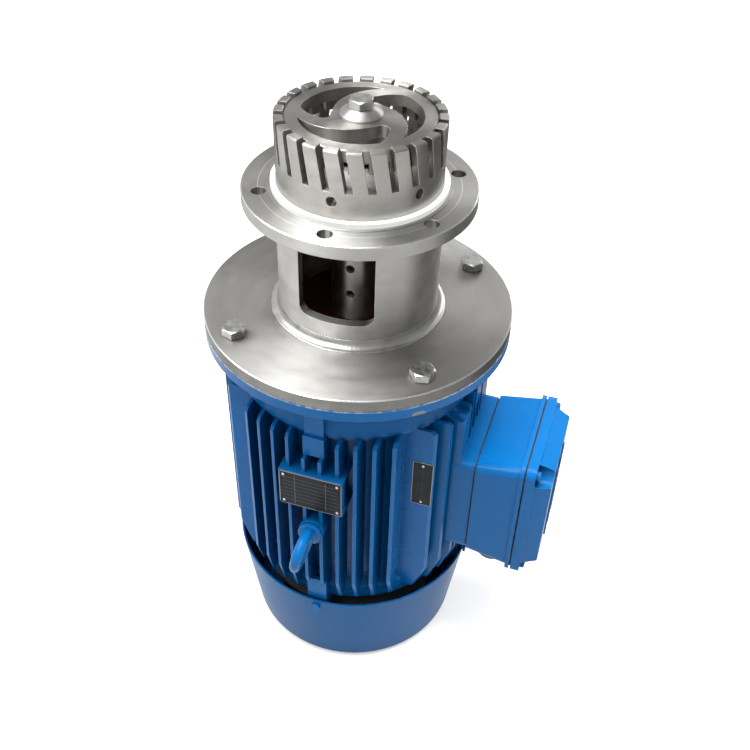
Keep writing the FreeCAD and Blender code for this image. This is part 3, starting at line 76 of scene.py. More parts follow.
class MixerCameraSettings(bpy.types.PropertyGroup):
    """Where the camera stands and what it sees"""
    azimuth: bpy.props.FloatProperty(
        name="Azimuth", description="How far the camera stands round from the front",
        default=radians(17.0), subtype="ANGLE")
    elevation: bpy.props.FloatProperty(
        name="Elevation", description="How steeply the camera looks down",
        default=radians(40.71), subtype="ANGLE")
    roll: bpy.props.FloatProperty(
        name="Roll", description="Tilt of the camera about its line of sight",
        default=radians(1.71), subtype="ANGLE")
    distance: bpy.props.FloatProperty(
        name="Distance", description="From the camera to the level of the lantern plate",
        default=1.10029, unit="LENGTH")
    side_shift: bpy.props.FloatProperty(
        name="Side shift", description="Sideways offset of the camera",
        default=0.02128, unit="LENGTH")
    rise: bpy.props.FloatProperty(
        name="Rise", description="Upward offset of the camera in its own plane",
        default=-0.08675, unit="LENGTH")
    lens: bpy.props.FloatProperty(
        name="Lens", description="Focal length on a 36 mm sensor, in millimetres", default=46.41)


class MixerPaintSettings(bpy.types.PropertyGroup):
    """Colours of the paint and of the rating plates"""
    paint: bpy.props.FloatVectorProperty(
        name="Paint", description="Colour of the motor's enamel", subtype="COLOR",
        default=(0.002, 0.150, 0.45), min=0, max=1)
    primer: bpy.props.FloatVectorProperty(
        name="Primer", description="Red oxide primer on the motor face", subtype="COLOR",
        default=(0.10, 0.020, 0.014), min=0, max=1)
    plate_ink: bpy.props.FloatVectorProperty(
        name="Plate ink", description="Dark fill of the two rating plates", subtype="COLOR",
        default=(0.012, 0.013, 0.014), min=0, max=1)
    paint_roughness: bpy.props.FloatProperty(
        name="Paint roughness", description="Gloss of the enamel", default=0.24, min=0, max=1)


class MixerFastenerSettings(bpy.types.PropertyGroup):
    """Sizes of the bolts, the lifting eye and the weld beads"""
    foot_circle: bpy.props.FloatProperty(
        name="Foot bolt circle", description="Radius of the motor flange bolts",
        default=150 * MM, unit="LENGTH")
    foot_flats: bpy.props.FloatProperty(
        name="Foot bolt hexagon", description="Across the flats", default=24 * MM, unit="LENGTH")
    rotor_flats: bpy.props.FloatProperty(
        name="Rotor bolt hexagon", description="Across the flats", default=23 * MM, unit="LENGTH")
    eye_wire: bpy.props.FloatProperty(
        name="Eye wire", description="Radius of the lifting eye's ring section",
        default=6.2 * MM, unit="LENGTH")
    eye_thread: bpy.props.FloatProperty(
        name="Eye thread", description="Length of the lifting eye's thread",
        default=20 * MM, unit="LENGTH")
    eye_turn: bpy.props.FloatProperty(
        name="Eye turn", description="How far the eye is turned on its thread",
        default=radians(10), subtype="ANGLE")
    bead_ripples: bpy.props.IntProperty(
        name="Bead ripples", description="Ripples round each weld bead", default=132)


# Mesh helpers

def new_object(name, verts, faces, smooth_angle=35):
    """A linked object with merged points, outward normals and sharp edges past an angle."""
    mesh = bpy.data.meshes.new(name)
    mesh.from_pydata([tuple(v) for v in verts], [], faces)
    mesh.validate()
    mesh.update()
    tidy = bmesh.new()
    tidy.from_mesh(mesh)
    bmesh.ops.remove_doubles(tidy, verts=tidy.verts, dist=1e-6)
    bmesh.ops.recalc_face_normals(tidy, faces=tidy.faces)
    tidy.to_mesh(mesh)
    tidy.free()
    for polygon in mesh.polygons:
        polygon.use_smooth = True
    mesh.set_sharp_from_angle(angle=radians(smooth_angle))
    item = bpy.data.objects.new(name, mesh)
    bpy.context.scene.collection.objects.link(item)
    return item


def rings_to_faces(count, around):
    """Quads between successive closed rings of vertices."""
    faces = []
    for ring in range(count - 1):
        for step in range(around):
            a = ring * around + step
            b = ring * around + (step + 1) % around
            faces.append((a, b, b + around, a + around))
    return faces


def steps_round(around):
    """Angles that share out a full turn."""
    return [2 * pi * step / around for step in range(around)]


def at_angle(radius, angle, height=0.0):
    """A point at a radius and an angle from the Z axis."""
    return Vector((radius * cos(angle), radius * sin(angle), height))


def lathe(profile, around=48):
    """Vertices and faces of a profile of (radius, height) turned about Z."""
    verts = [at_angle(radius, angle, height)
             for radius, height in profile for angle in steps_round(around)]
    return verts, rings_to_faces(len(profile), around)


def bolt_shank(radius, point, tail, seat):
    """A shank from its chamfered tail, of radius point, up to the seat of its head."""
    chamfer = 0.001
    return lathe([(AXIS_HOLE, tail), (point, tail), (radius, tail + chamfer), (radius, seat),
                  (AXIS_HOLE, seat)])


def hexagon_head(flats, height, washer=0.0, around=72):
    """A hexagon with a washer face and a chamfered crown, standing on z = 0."""
    inner = flats / 2
    crown = inner * 0.94
    chamfer = tan(radians(30))
    rows = [[] for _ in range(6)]
    for angle in steps_round(around):
        local = (angle + pi / 6) % (pi / 3) - pi / 6
        edge = inner / cos(local)
        fall = max(edge - crown, 0) * chamfer
        outline = ((inner * 0.92, 0.0), (inner * 0.95, washer), (edge, washer),
                   (edge, height - fall), (crown, height), (CROWN_HOLE, height))
        for row, (radius, z) in zip(rows, outline):
            row.append(at_angle(radius, angle, z))
    verts = [point for row in rows for point in row]
    faces = rings_to_faces(len(rows), around)
    faces.append(tuple(range(around)))
    faces.append(tuple(range(len(verts) - around, len(verts))))
    return verts, faces


def slotted_head(radius, height, slot_width, slot_depth, dome=0.0, cross=False):
    """A round head with a driving slot, or a cross, standing on z = 0."""
    rings = 14
    around = 64
    reach = 0.72 if cross else 1.1    # share of the radius that the slot runs to
    edge_fall = 0.12 * height
    wall_radius = radius * 1.01
    verts = []
    for ring in range(rings + 1):
        share = ring / rings
        for angle in steps_round(around):
            point = at_angle(radius * share, angle, height + dome * (1 - share ** 2))
            in_slot = abs(point.y) < slot_width / 2 or (cross and abs(point.x) < slot_width / 2)
            if in_slot and share < reach:
                point.z -= slot_depth
            if ring == rings:
                point.z -= edge_fall
            verts.append(point)
    faces = rings_to_faces(rings + 1, around)
    last = rings * around
    wall = len(verts)
    for z in (height * 0.75, 0):
        verts.extend(at_angle(wall_radius, angle, z) for angle in steps_round(around))
    for step in range(around):
        after = (step + 1) % around
        faces.append((last + step, last + after, wall + after, wall + step))
        faces.append((wall + step, wall + after, wall + around + after, wall + around + step))
    faces.append(tuple(range(wall + around, wall + 2 * around)))
    return verts, faces


def gather(name, shapes, smooth_angle=35):
    """One object from (verts, faces, matrix) shapes."""
    verts, faces = [], []
    for points, polygons, matrix in shapes:
        first = len(verts)
        verts.extend(matrix @ point for point in points)
        faces.extend(tuple(first + index for index in polygon) for polygon in polygons)
    return new_object(name, verts, faces, smooth_angle)


def facing(direction, place, spin=0.0):
    """Matrix that stands a shape's +Z along direction at place."""
    turn = UP.rotation_difference(Vector(direction).normalized()).to_matrix().to_4x4()
    return Matrix.Translation(Vector(place)) @ turn @ Matrix.Rotation(spin, 4, "Z")


def finish_piece(item, finish, body, *nodes):
    """Give a piece its finish and body, and put it in the place of CAD nodes."""
    item.data.materials.clear()
    item.data.materials.append(bpy.data.materials[finish])
    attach(item, body)
    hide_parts(*nodes)


# Shader helpers

def add(tree, kind, x=0, y=0, **settings):
    """A new shader node."""
    node = tree.nodes.new(kind)
    node.location = (x, y)
    for name, setting in settings.items():
        setattr(node, name, setting)
    return node


def feed(tree, socket, source):
    """Give a socket a link or a plain value."""
    if isinstance(source, bpy.types.NodeSocket):
        tree.links.new(source, socket)
    else:
        socket.default_value = source


def math_node(tree, operation, first, second=None, clamp=False):
    node = add(tree, "ShaderNodeMath", operation=operation, use_clamp=clamp)
    feed(tree, node.inputs[0], first)
    if second is not None:
        feed(tree, node.inputs[1], second)
    return node.outputs[0]


def times(tree, first, second):
    return math_node(tree, "MULTIPLY", first, second)


def span(tree, source, low, high, to_low=0.0, to_high=1.0):
    """Map a value from one span to another, held at both ends."""
    node = add(tree, "ShaderNodeMapRange", clamp=True)
    for name, number in (("Value", source), ("From Min", low), ("From Max", high),
                         ("To Min", to_low), ("To Max", to_high)):
        feed(tree, node.inputs[name], number)
    return node.outputs[0]


def noise(tree, vector, scale, detail=3.0, roughness=0.55):
    node = add(tree, "ShaderNodeTexNoise")
    for name, source in (("Vector", vector), ("Scale", scale), ("Detail", detail),
                         ("Roughness", roughness)):
        feed(tree, node.inputs[name], source)
    return node.outputs["Fac"]


def blend_colour(tree, factor, first, second):
    """Mix from the first colour to the second."""
    node = add(tree, "ShaderNodeMix", data_type="RGBA")
    feed(tree, node.inputs["Factor"], factor)
    for name, colour in (("A", first), ("B", second)):
        socket = next(s for s in node.inputs if s.name == name and s.type == "RGBA")
        feed(tree, socket, (*colour, 1) if isinstance(colour, tuple) else colour)
    return next(s for s in node.outputs if s.type == "RGBA")


def overlay(tree, base, mask, share, colour):
    """Lay a share of a colour over the base where a mask is one."""
    return blend_colour(tree, times(tree, mask, share), base, colour)


def shaded(colour, factor, lift=0.0):
    """A colour made darker or lighter."""
    return tuple(min(c * factor + lift, 1) for c in colour)


def object_position(tree):
    return add(tree, "ShaderNodeTexCoord").outputs["Object"]


def split(tree, vector):
    """The x, y and z of a vector."""
    parts = add(tree, "ShaderNodeSeparateXYZ")
    tree.links.new(vector, parts.inputs[0])
    return parts.outputs


def stretched(tree, vector, factors):
    """A vector with each of its parts multiplied by a plain factor."""
    node = add(tree, "ShaderNodeVectorMath", operation="MULTIPLY")
    tree.links.new(vector, node.inputs[0])
    node.inputs[1].default_value = factors
    return node.outputs[0]


def axis_radius(tree, x, y):
    return math_node(tree, "SQRT", math_node(tree, "ADD", times(tree, x, x), times(tree, y, y)))


def new_group(name, inputs, outputs):
    """An empty shader group, whose sockets are numbers apart from its Normal."""
    group = bpy.data.node_groups.new(name, "ShaderNodeTree")
    for label, default in inputs.items():
        socket = group.interface.new_socket(
            label, in_out="INPUT", socket_type="NodeSocketFloat")
        socket.default_value = default
    for label in outputs:
        kind = "NodeSocketVector" if label == "Normal" else "NodeSocketFloat"
        group.interface.new_socket(label, in_out="OUTPUT", socket_type=kind)
    return group, add(group, "NodeGroupInput", -900), add(group, "NodeGroupOutput", 900)


def build_edge_wear_and_painted_light():
    """Worn edges that also carry a painted highlight, and painted shade in the corners."""
    group, given, out = new_group(
        "Edge Wear And Painted Light", {"Radius": 0.001, "Break Up": 60.0, "Reach": 0.02},
        ("Edge", "Corner", "Normal"))
    bevel = add(group, "ShaderNodeBevel", samples=4)
    group.links.new(given.outputs["Radius"], bevel.inputs["Radius"])
    flat = add(group, "ShaderNodeNewGeometry")
    dot = add(group, "ShaderNodeVectorMath", operation="DOT_PRODUCT")
    group.links.new(bevel.outputs[0], dot.inputs[0])
    group.links.new(flat.outputs["Normal"], dot.inputs[1])
    bent = math_node(group, "SUBTRACT", 1.0, dot.outputs["Value"])
    edge = span(group, bent, 0.01, 0.22)
    spots = noise(group, object_position(group), given.outputs["Break Up"], 4.0, 0.5)
    ragged = span(group, spots, 0.35, 0.65)
    # ambient occlusion makes the Corner mask, with which the finishes paint shade into corners
    shade = add(group, "ShaderNodeAmbientOcclusion", samples=6, only_local=False)
    group.links.new(given.outputs["Reach"], shade.inputs["Distance"])
    corner = span(group, shade.outputs["AO"], 0.75, 0.15)
    group.links.new(times(group, edge, ragged), out.inputs["Edge"])
    group.links.new(corner, out.inputs["Corner"])
    group.links.new(bevel.outputs[0], out.inputs["Normal"])


def build_turned_grain():
    """Fine tool marks that run round the shaft axis."""
    group, given, out = new_group(
        "Turned Grain", {"Fineness": 900.0, "Length": 3.0}, ("Height", "Streak"))
    x, y, z = split(group, object_position(group))
    angle = math_node(group, "ARCTAN2", y, x)
    fine = given.outputs["Fineness"]
    combine = add(group, "ShaderNodeCombineXYZ")
    for index, (source, scale) in enumerate((
            (axis_radius(group, x, y), fine), (z, fine), (angle, given.outputs["Length"]))):
        group.links.new(times(group, source, scale), combine.inputs[index])
    marks = combine.outputs[0]
    group.links.new(noise(group, marks, 1.0, 2.0), out.inputs["Height"])
    slow = stretched(group, marks, (0.06, 0.06, 1.3))
    group.links.new(span(group, noise(group, slow, 1.0, 3.0), 0.3, 0.7), out.inputs["Streak"])


def build_mottle():
    """Slow change of tone with a fine skin, as on sprayed or cast surfaces."""
    group, given, out = new_group(
        "Mottle", {"Patch Size": 14.0, "Skin Size": 420.0}, ("Patch", "Skin"))
    where = object_position(group)
    for label, size, detail, low, high in (
            ("Patch", "Patch Size", 4.0, 0.3, 0.7), ("Skin", "Skin Size", 2.0, 0.2, 0.8)):
        texture = noise(group, where, given.outputs[size], detail, 0.5)
        group.links.new(span(group, texture, low, high), out.inputs[label])


def use_group(tree, name, **values):
    """A shader group in a material, with this finish's values."""
    node = add(tree, "ShaderNodeGroup")
    node.node_tree = bpy.data.node_groups[name]
    for label, number in values.items():
        node.inputs[label.replace("_", " ")].default_value = number
    return node.outputs


def start_material(name, **constants):
    """A material with one Principled shader, whose plain values sit on its own sockets."""
    material = bpy.data.materials.new(name)
    material.use_nodes = True
    tree = material.node_tree
    tree.nodes.clear()
    shader = add(tree, "ShaderNodeBsdfPrincipled", 500)
    out = add(tree, "ShaderNodeOutputMaterial", 800)
    tree.links.new(shader.outputs[0], out.inputs["Surface"])
    for label, number in constants.items():
        shader.inputs[label.replace("_", " ")].default_value = number
    return tree, shader


def add_bump(tree, shader, height, strength, distance, normal=None):
    """Bump from a height, over the rounded edge normal where one is given."""
    bump = add(tree, "ShaderNodeBump")
    bump.inputs["Strength"].default_value = strength
    bump.inputs["Distance"].default_value = distance
    tree.links.new(height, bump.inputs["Height"])
    if normal is not None:
        tree.links.new(normal, bump.inputs["Normal"])
    tree.links.new(bump.outputs[0], shader.inputs["Normal"])


# Finishes

def enamel(name, colour, roughness, primer=None, gloss=0.18):
    """Gloss enamel over castings, with lighter worn edges that also paint a highlight, and painted
    shade in the corners.
    """
    tree, shader = start_material(name, Specular_IOR_Level=gloss)
    wear_and_painted_light = use_group(tree, "Edge Wear And Painted Light", Radius=0.0011, Break_Up=70.0, Reach=0.035)
    tone = use_group(tree, "Mottle", Patch_Size=11.0, Skin_Size=150.0)
    base = blend_colour(tree, span(tree, tone["Patch"], 0, 1, 0.15, 0.85),
                        shaded(colour, 0.80), colour)
    # edges lightened: worn paint with a painted highlight
    base = overlay(tree, base, wear_and_painted_light["Edge"], 0.85, shaded(colour, 1.5, 0.12))
    # painted shade: darker in the corners
    base = overlay(tree, base, wear_and_painted_light["Corner"], 0.6, shaded(colour, 0.30))
    rough = span(tree, tone["Patch"], 0, 1, roughness - 0.03, roughness + 0.07)
    if primer is not None:
        base, rough = add_primer(tree, base, rough, primer)
    tree.links.new(base, shader.inputs["Base Color"])
    tree.links.new(rough, shader.inputs["Roughness"])
    add_bump(tree, shader, tone["Skin"], 0.05, 0.0004, wear_and_painted_light["Normal"])


def add_primer(tree, base, rough, primer):
    """Bare primed face inside the lantern, one paint chip, and a light line at the flange's rim
    that is partly worn paint and partly painted highlight.
    """
    primed_level, primed_radius = 0.470, 0.1262
    chip_place, chip_size = (0.1120, -0.1345, 0.4785), (0.0122, 0.0114)
    chip_squash = 2.4    # how much wider than tall the chip is
    rim_levels, rim_radii = (0.4880, 0.4892), (0.1736, 0.1743)
    where = object_position(tree)
    x, y, z = split(tree, where)
    radius = axis_radius(tree, x, y)
    face = times(tree, math_node(tree, "GREATER_THAN", z, primed_level),
                 math_node(tree, "LESS_THAN", radius, primed_radius))
    dusty = blend_colour(tree, noise(tree, where, 60.0, 4.0), primer, shaded(primer, 0.45))
    base = blend_colour(tree, face, base, dusty)
    chip = add(tree, "ShaderNodeVectorMath", operation="DISTANCE")
    tree.links.new(stretched(tree, where, (1.0, 1.0, chip_squash)), chip.inputs[0])
    chip.inputs[1].default_value = (*chip_place[:2], chip_place[2] * chip_squash)
    ragged = math_node(tree, "ADD", chip.outputs["Value"],
                       times(tree, noise(tree, where, 160.0, 4.0), 0.008))
    base = blend_colour(tree, span(tree, ragged, *chip_size), base, (0.27, 0.27, 0.25))
    # a light, ragged line along the flange's rim: worn paint with a painted highlight
    rim = times(tree, span(tree, z, *rim_levels),
                span(tree, noise(tree, where, 130.0, 4.0), 0.38, 0.60, 0.15, 1.0))
    rim = times(tree, rim, span(tree, radius, *rim_radii, 0, 0.85))
    base = blend_colour(tree, rim, base, (0.62, 0.70, 0.78))
    return base, math_node(tree, "ADD", rough, times(tree, face, 0.45), True)


def turned_steel(name, colour, roughness, fineness=900.0, grain=0.10, edge=0.0007,
                 ring=None, cut=None, crown=None):
    """Machined stainless steel with marks that run round the axis."""
    tree, shader = start_material(
        name, Metallic=1.0, Anisotropic=0.85, Anisotropic_Rotation=0.25)
    around = add(tree, "ShaderNodeTangent", direction_type="RADIAL", axis="Z")
    tree.links.new(around.outputs[0], shader.inputs["Tangent"])
    wear_and_painted_light = use_group(tree, "Edge Wear And Painted Light", Radius=edge, Break_Up=90.0, Reach=0.012)
    marks = use_group(tree, "Turned Grain", Fineness=fineness, Length=2.5)
    stain = use_group(tree, "Mottle", Patch_Size=16.0, Skin_Size=240.0)
    base = blend_colour(tree, marks["Streak"], shaded(colour, 0.72), colour)
    warmer = tuple(c * factor for c, factor in zip(colour, (0.82, 0.80, 0.77)))
    base = overlay(tree, base, stain["Patch"], 0.42, warmer)
    if cut is not None:
        base = blend_colour(tree, cut_faces(tree, *cut), base, sawn_tone(tree))
    # lighter edges: painted highlight, with some bright wear
    base = overlay(tree, base, wear_and_painted_light["Edge"], 0.95, shaded(colour, 1.5, 0.32))
    # painted shade: darker in the corners
    base = overlay(tree, base, wear_and_painted_light["Corner"], 0.45, shaded(colour, 0.35))
    height = marks["Height"]
    if ring is not None:
        height, base = add_scribed_ring(tree, height, base, ring)
    rough = span(tree, marks["Streak"], 0, 1, roughness - 0.05, roughness + 0.08)
    rough = math_node(tree, "ADD", rough, times(tree, stain["Patch"], 0.06), True)
    if crown is not None:
        # painted highlight: the bevel between top and rim is made near white and less rough
        bevel_highlight = crown_edge(tree, *crown)
        base = blend_colour(tree, bevel_highlight, base, (0.97, 0.97, 0.96))
        rough = math_node(tree, "SUBTRACT", rough, times(tree, bevel_highlight, 0.22), True)
    tree.links.new(base, shader.inputs["Base Color"])
    tree.links.new(rough, shader.inputs["Roughness"])
    add_bump(tree, shader, height, grain, 0.0004, wear_and_painted_light["Normal"])


def shaft_radius(tree):
    """Distance from the shaft axis, and height."""
    x, y, z = split(tree, object_position(tree))
    return axis_radius(tree, x, y), z


def cut_faces(tree, inner, outer, top=None):
    """A mask of the faces between two radii, below a level where one is given."""
    strength, side_margin, top_margin = 0.85, 0.0004, 0.0008
    radius, height = shaft_radius(tree)
    cut = times(tree, math_node(tree, "GREATER_THAN", radius, inner + side_margin),
                math_node(tree, "LESS_THAN", radius, outer - side_margin))
    if top is not None:
        cut = times(tree, cut, math_node(tree, "LESS_THAN", height, top - top_margin))
    return times(tree, cut, strength)


def crown_edge(tree, rim, top):
    """A mask of the bright bevel between a disc's top and its rim."""
    bevel_width, bevel_depth = 0.0013, 0.0011
    radius, height = shaft_radius(tree)
    return times(tree, math_node(tree, "GREATER_THAN", radius, rim - bevel_width),
                 math_node(tree, "GREATER_THAN", height, top - bevel_depth))


def sawn_tone(tree):
    """Duller, warmer steel of sawn, drilled and flame-cut faces."""
    return blend_colour(tree, noise(tree, object_position(tree), 45.0, 4.0),
                        (0.10, 0.095, 0.085), (0.30, 0.29, 0.27))


def add_scribed_ring(tree, height, base, ring):
    """A fine scribed circle on the flange's top, along its bolt holes."""
    radius, depth = shaft_radius(tree)
    gap = math_node(tree, "ABSOLUTE", math_node(tree, "SUBTRACT", radius, ring))
    line = times(tree, span(tree, gap, 0.0005, 0.0002),
                 math_node(tree, "GREATER_THAN", depth, FLANGE_FACE - 0.0003))
    height = math_node(tree, "SUBTRACT", height, line)
    return height, overlay(tree, base, line, 0.7, (0.95, 0.95, 0.95))


def bright_metal(name, colour, roughness, patch=20.0, low=0.82):
    """Plated, ground or forged metal without a lay."""
    tree, shader = start_material(name, Metallic=1.0)
    wear_and_painted_light = use_group(tree, "Edge Wear And Painted Light", Radius=0.0005, Break_Up=120.0, Reach=0.008)
    tone = use_group(tree, "Mottle", Patch_Size=patch, Skin_Size=500.0)
    base = blend_colour(tree, tone["Patch"], shaded(colour, low), colour)
    # painted shade: darker in the corners
    base = overlay(tree, base, wear_and_painted_light["Corner"], 0.6, shaded(colour, 0.25))
    # lighter edges: painted highlight, with some bright wear
    base = overlay(tree, base, wear_and_painted_light["Edge"], 0.7, shaded(colour, 1.5, 0.04))
    tree.links.new(base, shader.inputs["Base Color"])
    tree.links.new(span(tree, tone["Patch"], 0, 1, roughness - 0.04, roughness + 0.07),
                   shader.inputs["Roughness"])
    add_bump(tree, shader, tone["Patch"], 0.04, 0.0003, wear_and_painted_light["Normal"])


def moulded(name, colour, roughness, skin=600.0, bump=0.12):
    """Rubber, plastic, ceramic and fibre with a fine skin."""
    tree, shader = start_material(name)
    wear_and_painted_light = use_group(tree, "Edge Wear And Painted Light", Radius=0.0006, Break_Up=90.0, Reach=0.010)
    tone = use_group(tree, "Mottle", Patch_Size=25.0, Skin_Size=skin)
    base = blend_colour(tree, tone["Patch"], shaded(colour, 0.88), colour)
    # painted shade: darker in the corners
    base = overlay(tree, base, wear_and_painted_light["Corner"], 0.35, shaded(colour, 0.5))
    tree.links.new(base, shader.inputs["Base Color"])
    tree.links.new(span(tree, tone["Skin"], 0, 1, roughness - 0.05, roughness + 0.05),
                   shader.inputs["Roughness"])
    add_bump(tree, shader, tone["Skin"], bump, 0.0003, wear_and_painted_light["Normal"])


def layered(name, colour, pitch):
    """Stacked core sheets, seen as fine lines one above the other."""
    tree, shader = start_material(name, Metallic=0.8)
    height = split(tree, object_position(tree))[2]
    wave = math_node(tree, "SINE", times(tree, height, 2 * pi / pitch))
    sheets = span(tree, wave, -1, 1)
    tone = use_group(tree, "Mottle", Patch_Size=30.0, Skin_Size=400.0)
    base = blend_colour(tree, sheets, shaded(colour, 0.6), colour)
    base = overlay(tree, base, tone["Patch"], 0.4, (0.20, 0.13, 0.09))
    tree.links.new(base, shader.inputs["Base Color"])
    tree.links.new(span(tree, tone["Skin"], 0, 1, 0.42, 0.58), shader.inputs["Roughness"])
    add_bump(tree, shader, sheets, 0.4, 0.0002)


def rating_plate(name, node, ink, columns, rows, faint):
    """A dark plate with a bare metal border and fine blank ruling."""
    margin = 0.0042    # between the plate's edge and its ruling
    low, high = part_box(node)
    tree, shader = start_material(name, Specular_IOR_Level=0.12)
    x, _, z = split(tree, object_position(tree))
    across = span(tree, x, low.x, high.x)
    upward = span(tree, z, low.z, high.z)

    def off_centre(share):
        return math_node(tree, "ABSOLUTE", math_node(tree, "SUBTRACT", share, 0.5))

    def from_rim(share, length):
        return times(tree, math_node(tree, "SUBTRACT", 0.5, off_centre(share)), length)

    def ruling(share, count, thick):
        place = math_node(tree, "FRACT", times(tree, share, count))
        return span(tree, off_centre(place), thick, thick * 0.5)

    rim = math_node(tree, "MINIMUM", from_rim(across, high.x - low.x),
                    from_rim(upward, high.z - low.z))
    border = span(tree, rim, 0.0009, 0.0004)
    lines = math_node(tree, "MAXIMUM", ruling(upward, rows, 0.07), ruling(across, columns, 0.02))
    lines = times(tree, lines, math_node(tree, "GREATER_THAN", rim, margin))
    metal = math_node(tree, "MAXIMUM", times(tree, border, 0.6), times(tree, lines, faint))
    tone = use_group(tree, "Mottle", Patch_Size=60.0, Skin_Size=700.0)
    dark = blend_colour(tree, tone["Patch"], ink, shaded(ink, 1.8))
    base = blend_colour(tree, metal, dark, (0.52, 0.53, 0.55))
    tree.links.new(base, shader.inputs["Base Color"])
    tree.links.new(span(tree, metal, 0, 1, 0.0, 0.9), shader.inputs["Metallic"])
    tree.links.new(span(tree, tone["Skin"], 0, 1, 0.30, 0.42), shader.inputs["Roughness"])
    add_bump(tree, shader, metal, 0.3, 0.0002)


FINISH_NODES = {
    "cowl_enamel_shaded": ("fan_cowl",),
    "enamel": ("fan_end_shield", "motor_frame", "terminal_box", "terminal_lid",
               "lifting_eyebolt", "cowl_screws", "fan_end_screws", "drive_end_screws"),
    "enamel_primed": ("drive_end_shield",),
    "plate_stainless": ("lantern_base_plate",),
    "tube_stainless": ("lantern_tube",),
    "turned_stainless": ("seal_retainer", "rotor_cap_washer"),
    "sleeve_stainless": ("mixer_shaft",),
    "flange_stainless": ("vessel_flange",),
    "head_stainless": ("stator_ring",),
    "rotor_stainless": ("shear_rotor",),
    "weld_metal": ("lantern_weld_beads",),
    "bolt_stainless": ("foot_bolts", "foot_nuts", "rotor_bolt", "stator_grub_screws",
                       "seal_spring", "rotor_key"),
    "plated_steel": ("lid_screws", "coupling_key", "fan_circlip", "preload_washer",
                     "nameplate_rivets", "side_plate_rivets"),
    "dark_screws": ("sleeve_set_screws",),
    "ground_steel": ("drive_end_bearing_inner_ring", "drive_end_bearing_outer_ring",
                     "drive_end_bearing_balls", "fan_end_bearing_inner_ring",
                     "fan_end_bearing_outer_ring", "fan_end_bearing_balls", "motor_shaft"),
    "cage_brass": ("drive_end_bearing_cage", "fan_end_bearing_cage"),
    "core_sheets": ("stator_core", "rotor_core"),
    "winding_copper": ("stator_windings", "terminal_studs", "terminal_links"),
    "fan_plastic": ("cooling_fan", "entry_plugs", "terminal_board"),
    "black_rubber": ("shaft_oil_seal", "box_gasket", "lid_gasket", "seal_seat_oring",
                     "seal_bellows"),
    "white_gasket": ("stator_gasket",),
    "seal_ceramic": ("seal_seat",),
    "seal_carbon": ("seal_rotating_ring",),
    "nameplate_face": ("nameplate",),
    "side_plate_face": ("side_plate",),
}


class MIXER_OT_finishes(bpy.types.Operator):
    """Give every CAD part its painted, turned, plated or moulded finish"""
    bl_idname = "mixer.finishes"
    bl_label = "Part finishes"

    def execute(self, context):
        colours = context.scene.mixer_paint
        for build in (build_edge_wear_and_painted_light, build_turned_grain, build_mottle):
            build()
        blue = tuple(colours.paint)
        sheen = colours.paint_roughness
        enamel("enamel", blue, sheen)
        # the cowl has the same paint as the frame, with its colour written darker, which paints
        # shade on it
        enamel("cowl_enamel_shaded", shaded(blue, 0.80), sheen + 0.06, gloss=0.12)
        enamel("enamel_primed", blue, sheen, tuple(colours.primer))
        plate_rim, tube_wall, flange_rim = (
            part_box(node)[1].x for node in ("lantern_base_plate", "lantern_tube", "vessel_flange"))
        plate_top = level("lantern_base_plate")
        rim_depth, crown_depth = 0.0014, 0.0004    # where the plate's flame-cut edge begins
        wall_thickness, past_rim = 0.010, 0.001
        flange_holes = 0.098    # radius inside the flange's bolt holes
        turned_steel("plate_stainless", (0.52, 0.515, 0.50), 0.47, crown=(plate_rim, plate_top),
                     cut=(plate_rim - rim_depth, plate_rim + past_rim, plate_top - crown_depth))
        turned_steel("turned_stainless", (0.66, 0.655, 0.64), 0.44)
        turned_steel("tube_stainless", (0.66, 0.655, 0.64), 0.44,
                     cut=(tube_wall - wall_thickness, tube_wall))
        turned_steel("sleeve_stainless", (0.62, 0.61, 0.59), 0.38)
        turned_steel("flange_stainless", (0.54, 0.535, 0.52), 0.44, ring=SCRIBED_RING,
                     crown=(flange_rim, FLANGE_FACE),
                     cut=(flange_holes, flange_rim - past_rim, FLANGE_FACE))
        turned_steel("head_stainless", (0.50, 0.49, 0.465), 0.36,
                     fineness=1100.0, grain=0.07, edge=0.0009)
        turned_steel("rotor_stainless", (0.42, 0.41, 0.385), 0.40,
                     fineness=1100.0, grain=0.08, edge=0.0009)
        bright_metal("weld_metal", (0.60, 0.595, 0.58), 0.30, patch=60.0)
        bright_metal("bolt_stainless", (0.60, 0.60, 0.59), 0.27, patch=150.0, low=0.70)
        bright_metal("dark_screws", (0.05, 0.05, 0.052), 0.34)
        bright_metal("plated_steel", (0.60, 0.61, 0.62), 0.28)
        bright_metal("ground_steel", (0.55, 0.56, 0.58), 0.18)
        bright_metal("cage_brass", (0.62, 0.45, 0.18), 0.30)
        bright_metal("winding_copper", (0.60, 0.26, 0.13), 0.35, patch=90.0)
        layered("core_sheets", (0.34, 0.34, 0.36), pitch=0.001)
        moulded("fan_plastic", (0.03, 0.03, 0.034), 0.48)
        moulded("black_rubber", (0.018, 0.018, 0.019), 0.62)
        moulded("white_gasket", (0.80, 0.80, 0.79), 0.42, skin=300.0, bump=0.05)
        moulded("seal_ceramic", (0.78, 0.75, 0.70), 0.22, skin=300.0, bump=0.03)
        moulded("seal_carbon", (0.03, 0.03, 0.033), 0.28, skin=300.0, bump=0.03)
        ink = tuple(colours.plate_ink)
        rating_plate("nameplate_face", "nameplate", ink, columns=2, rows=9, faint=0.16)
        rating_plate("side_plate_face", "side_plate", ink, columns=1, rows=12, faint=0.05)
        for finish, nodes in FINISH_NODES.items():
            for node in nodes:
                for slot in frame["nodes"][node].material_slots:
                    slot.material = bpy.data.materials[finish]
        return {"FINISHED"}


# Pieces

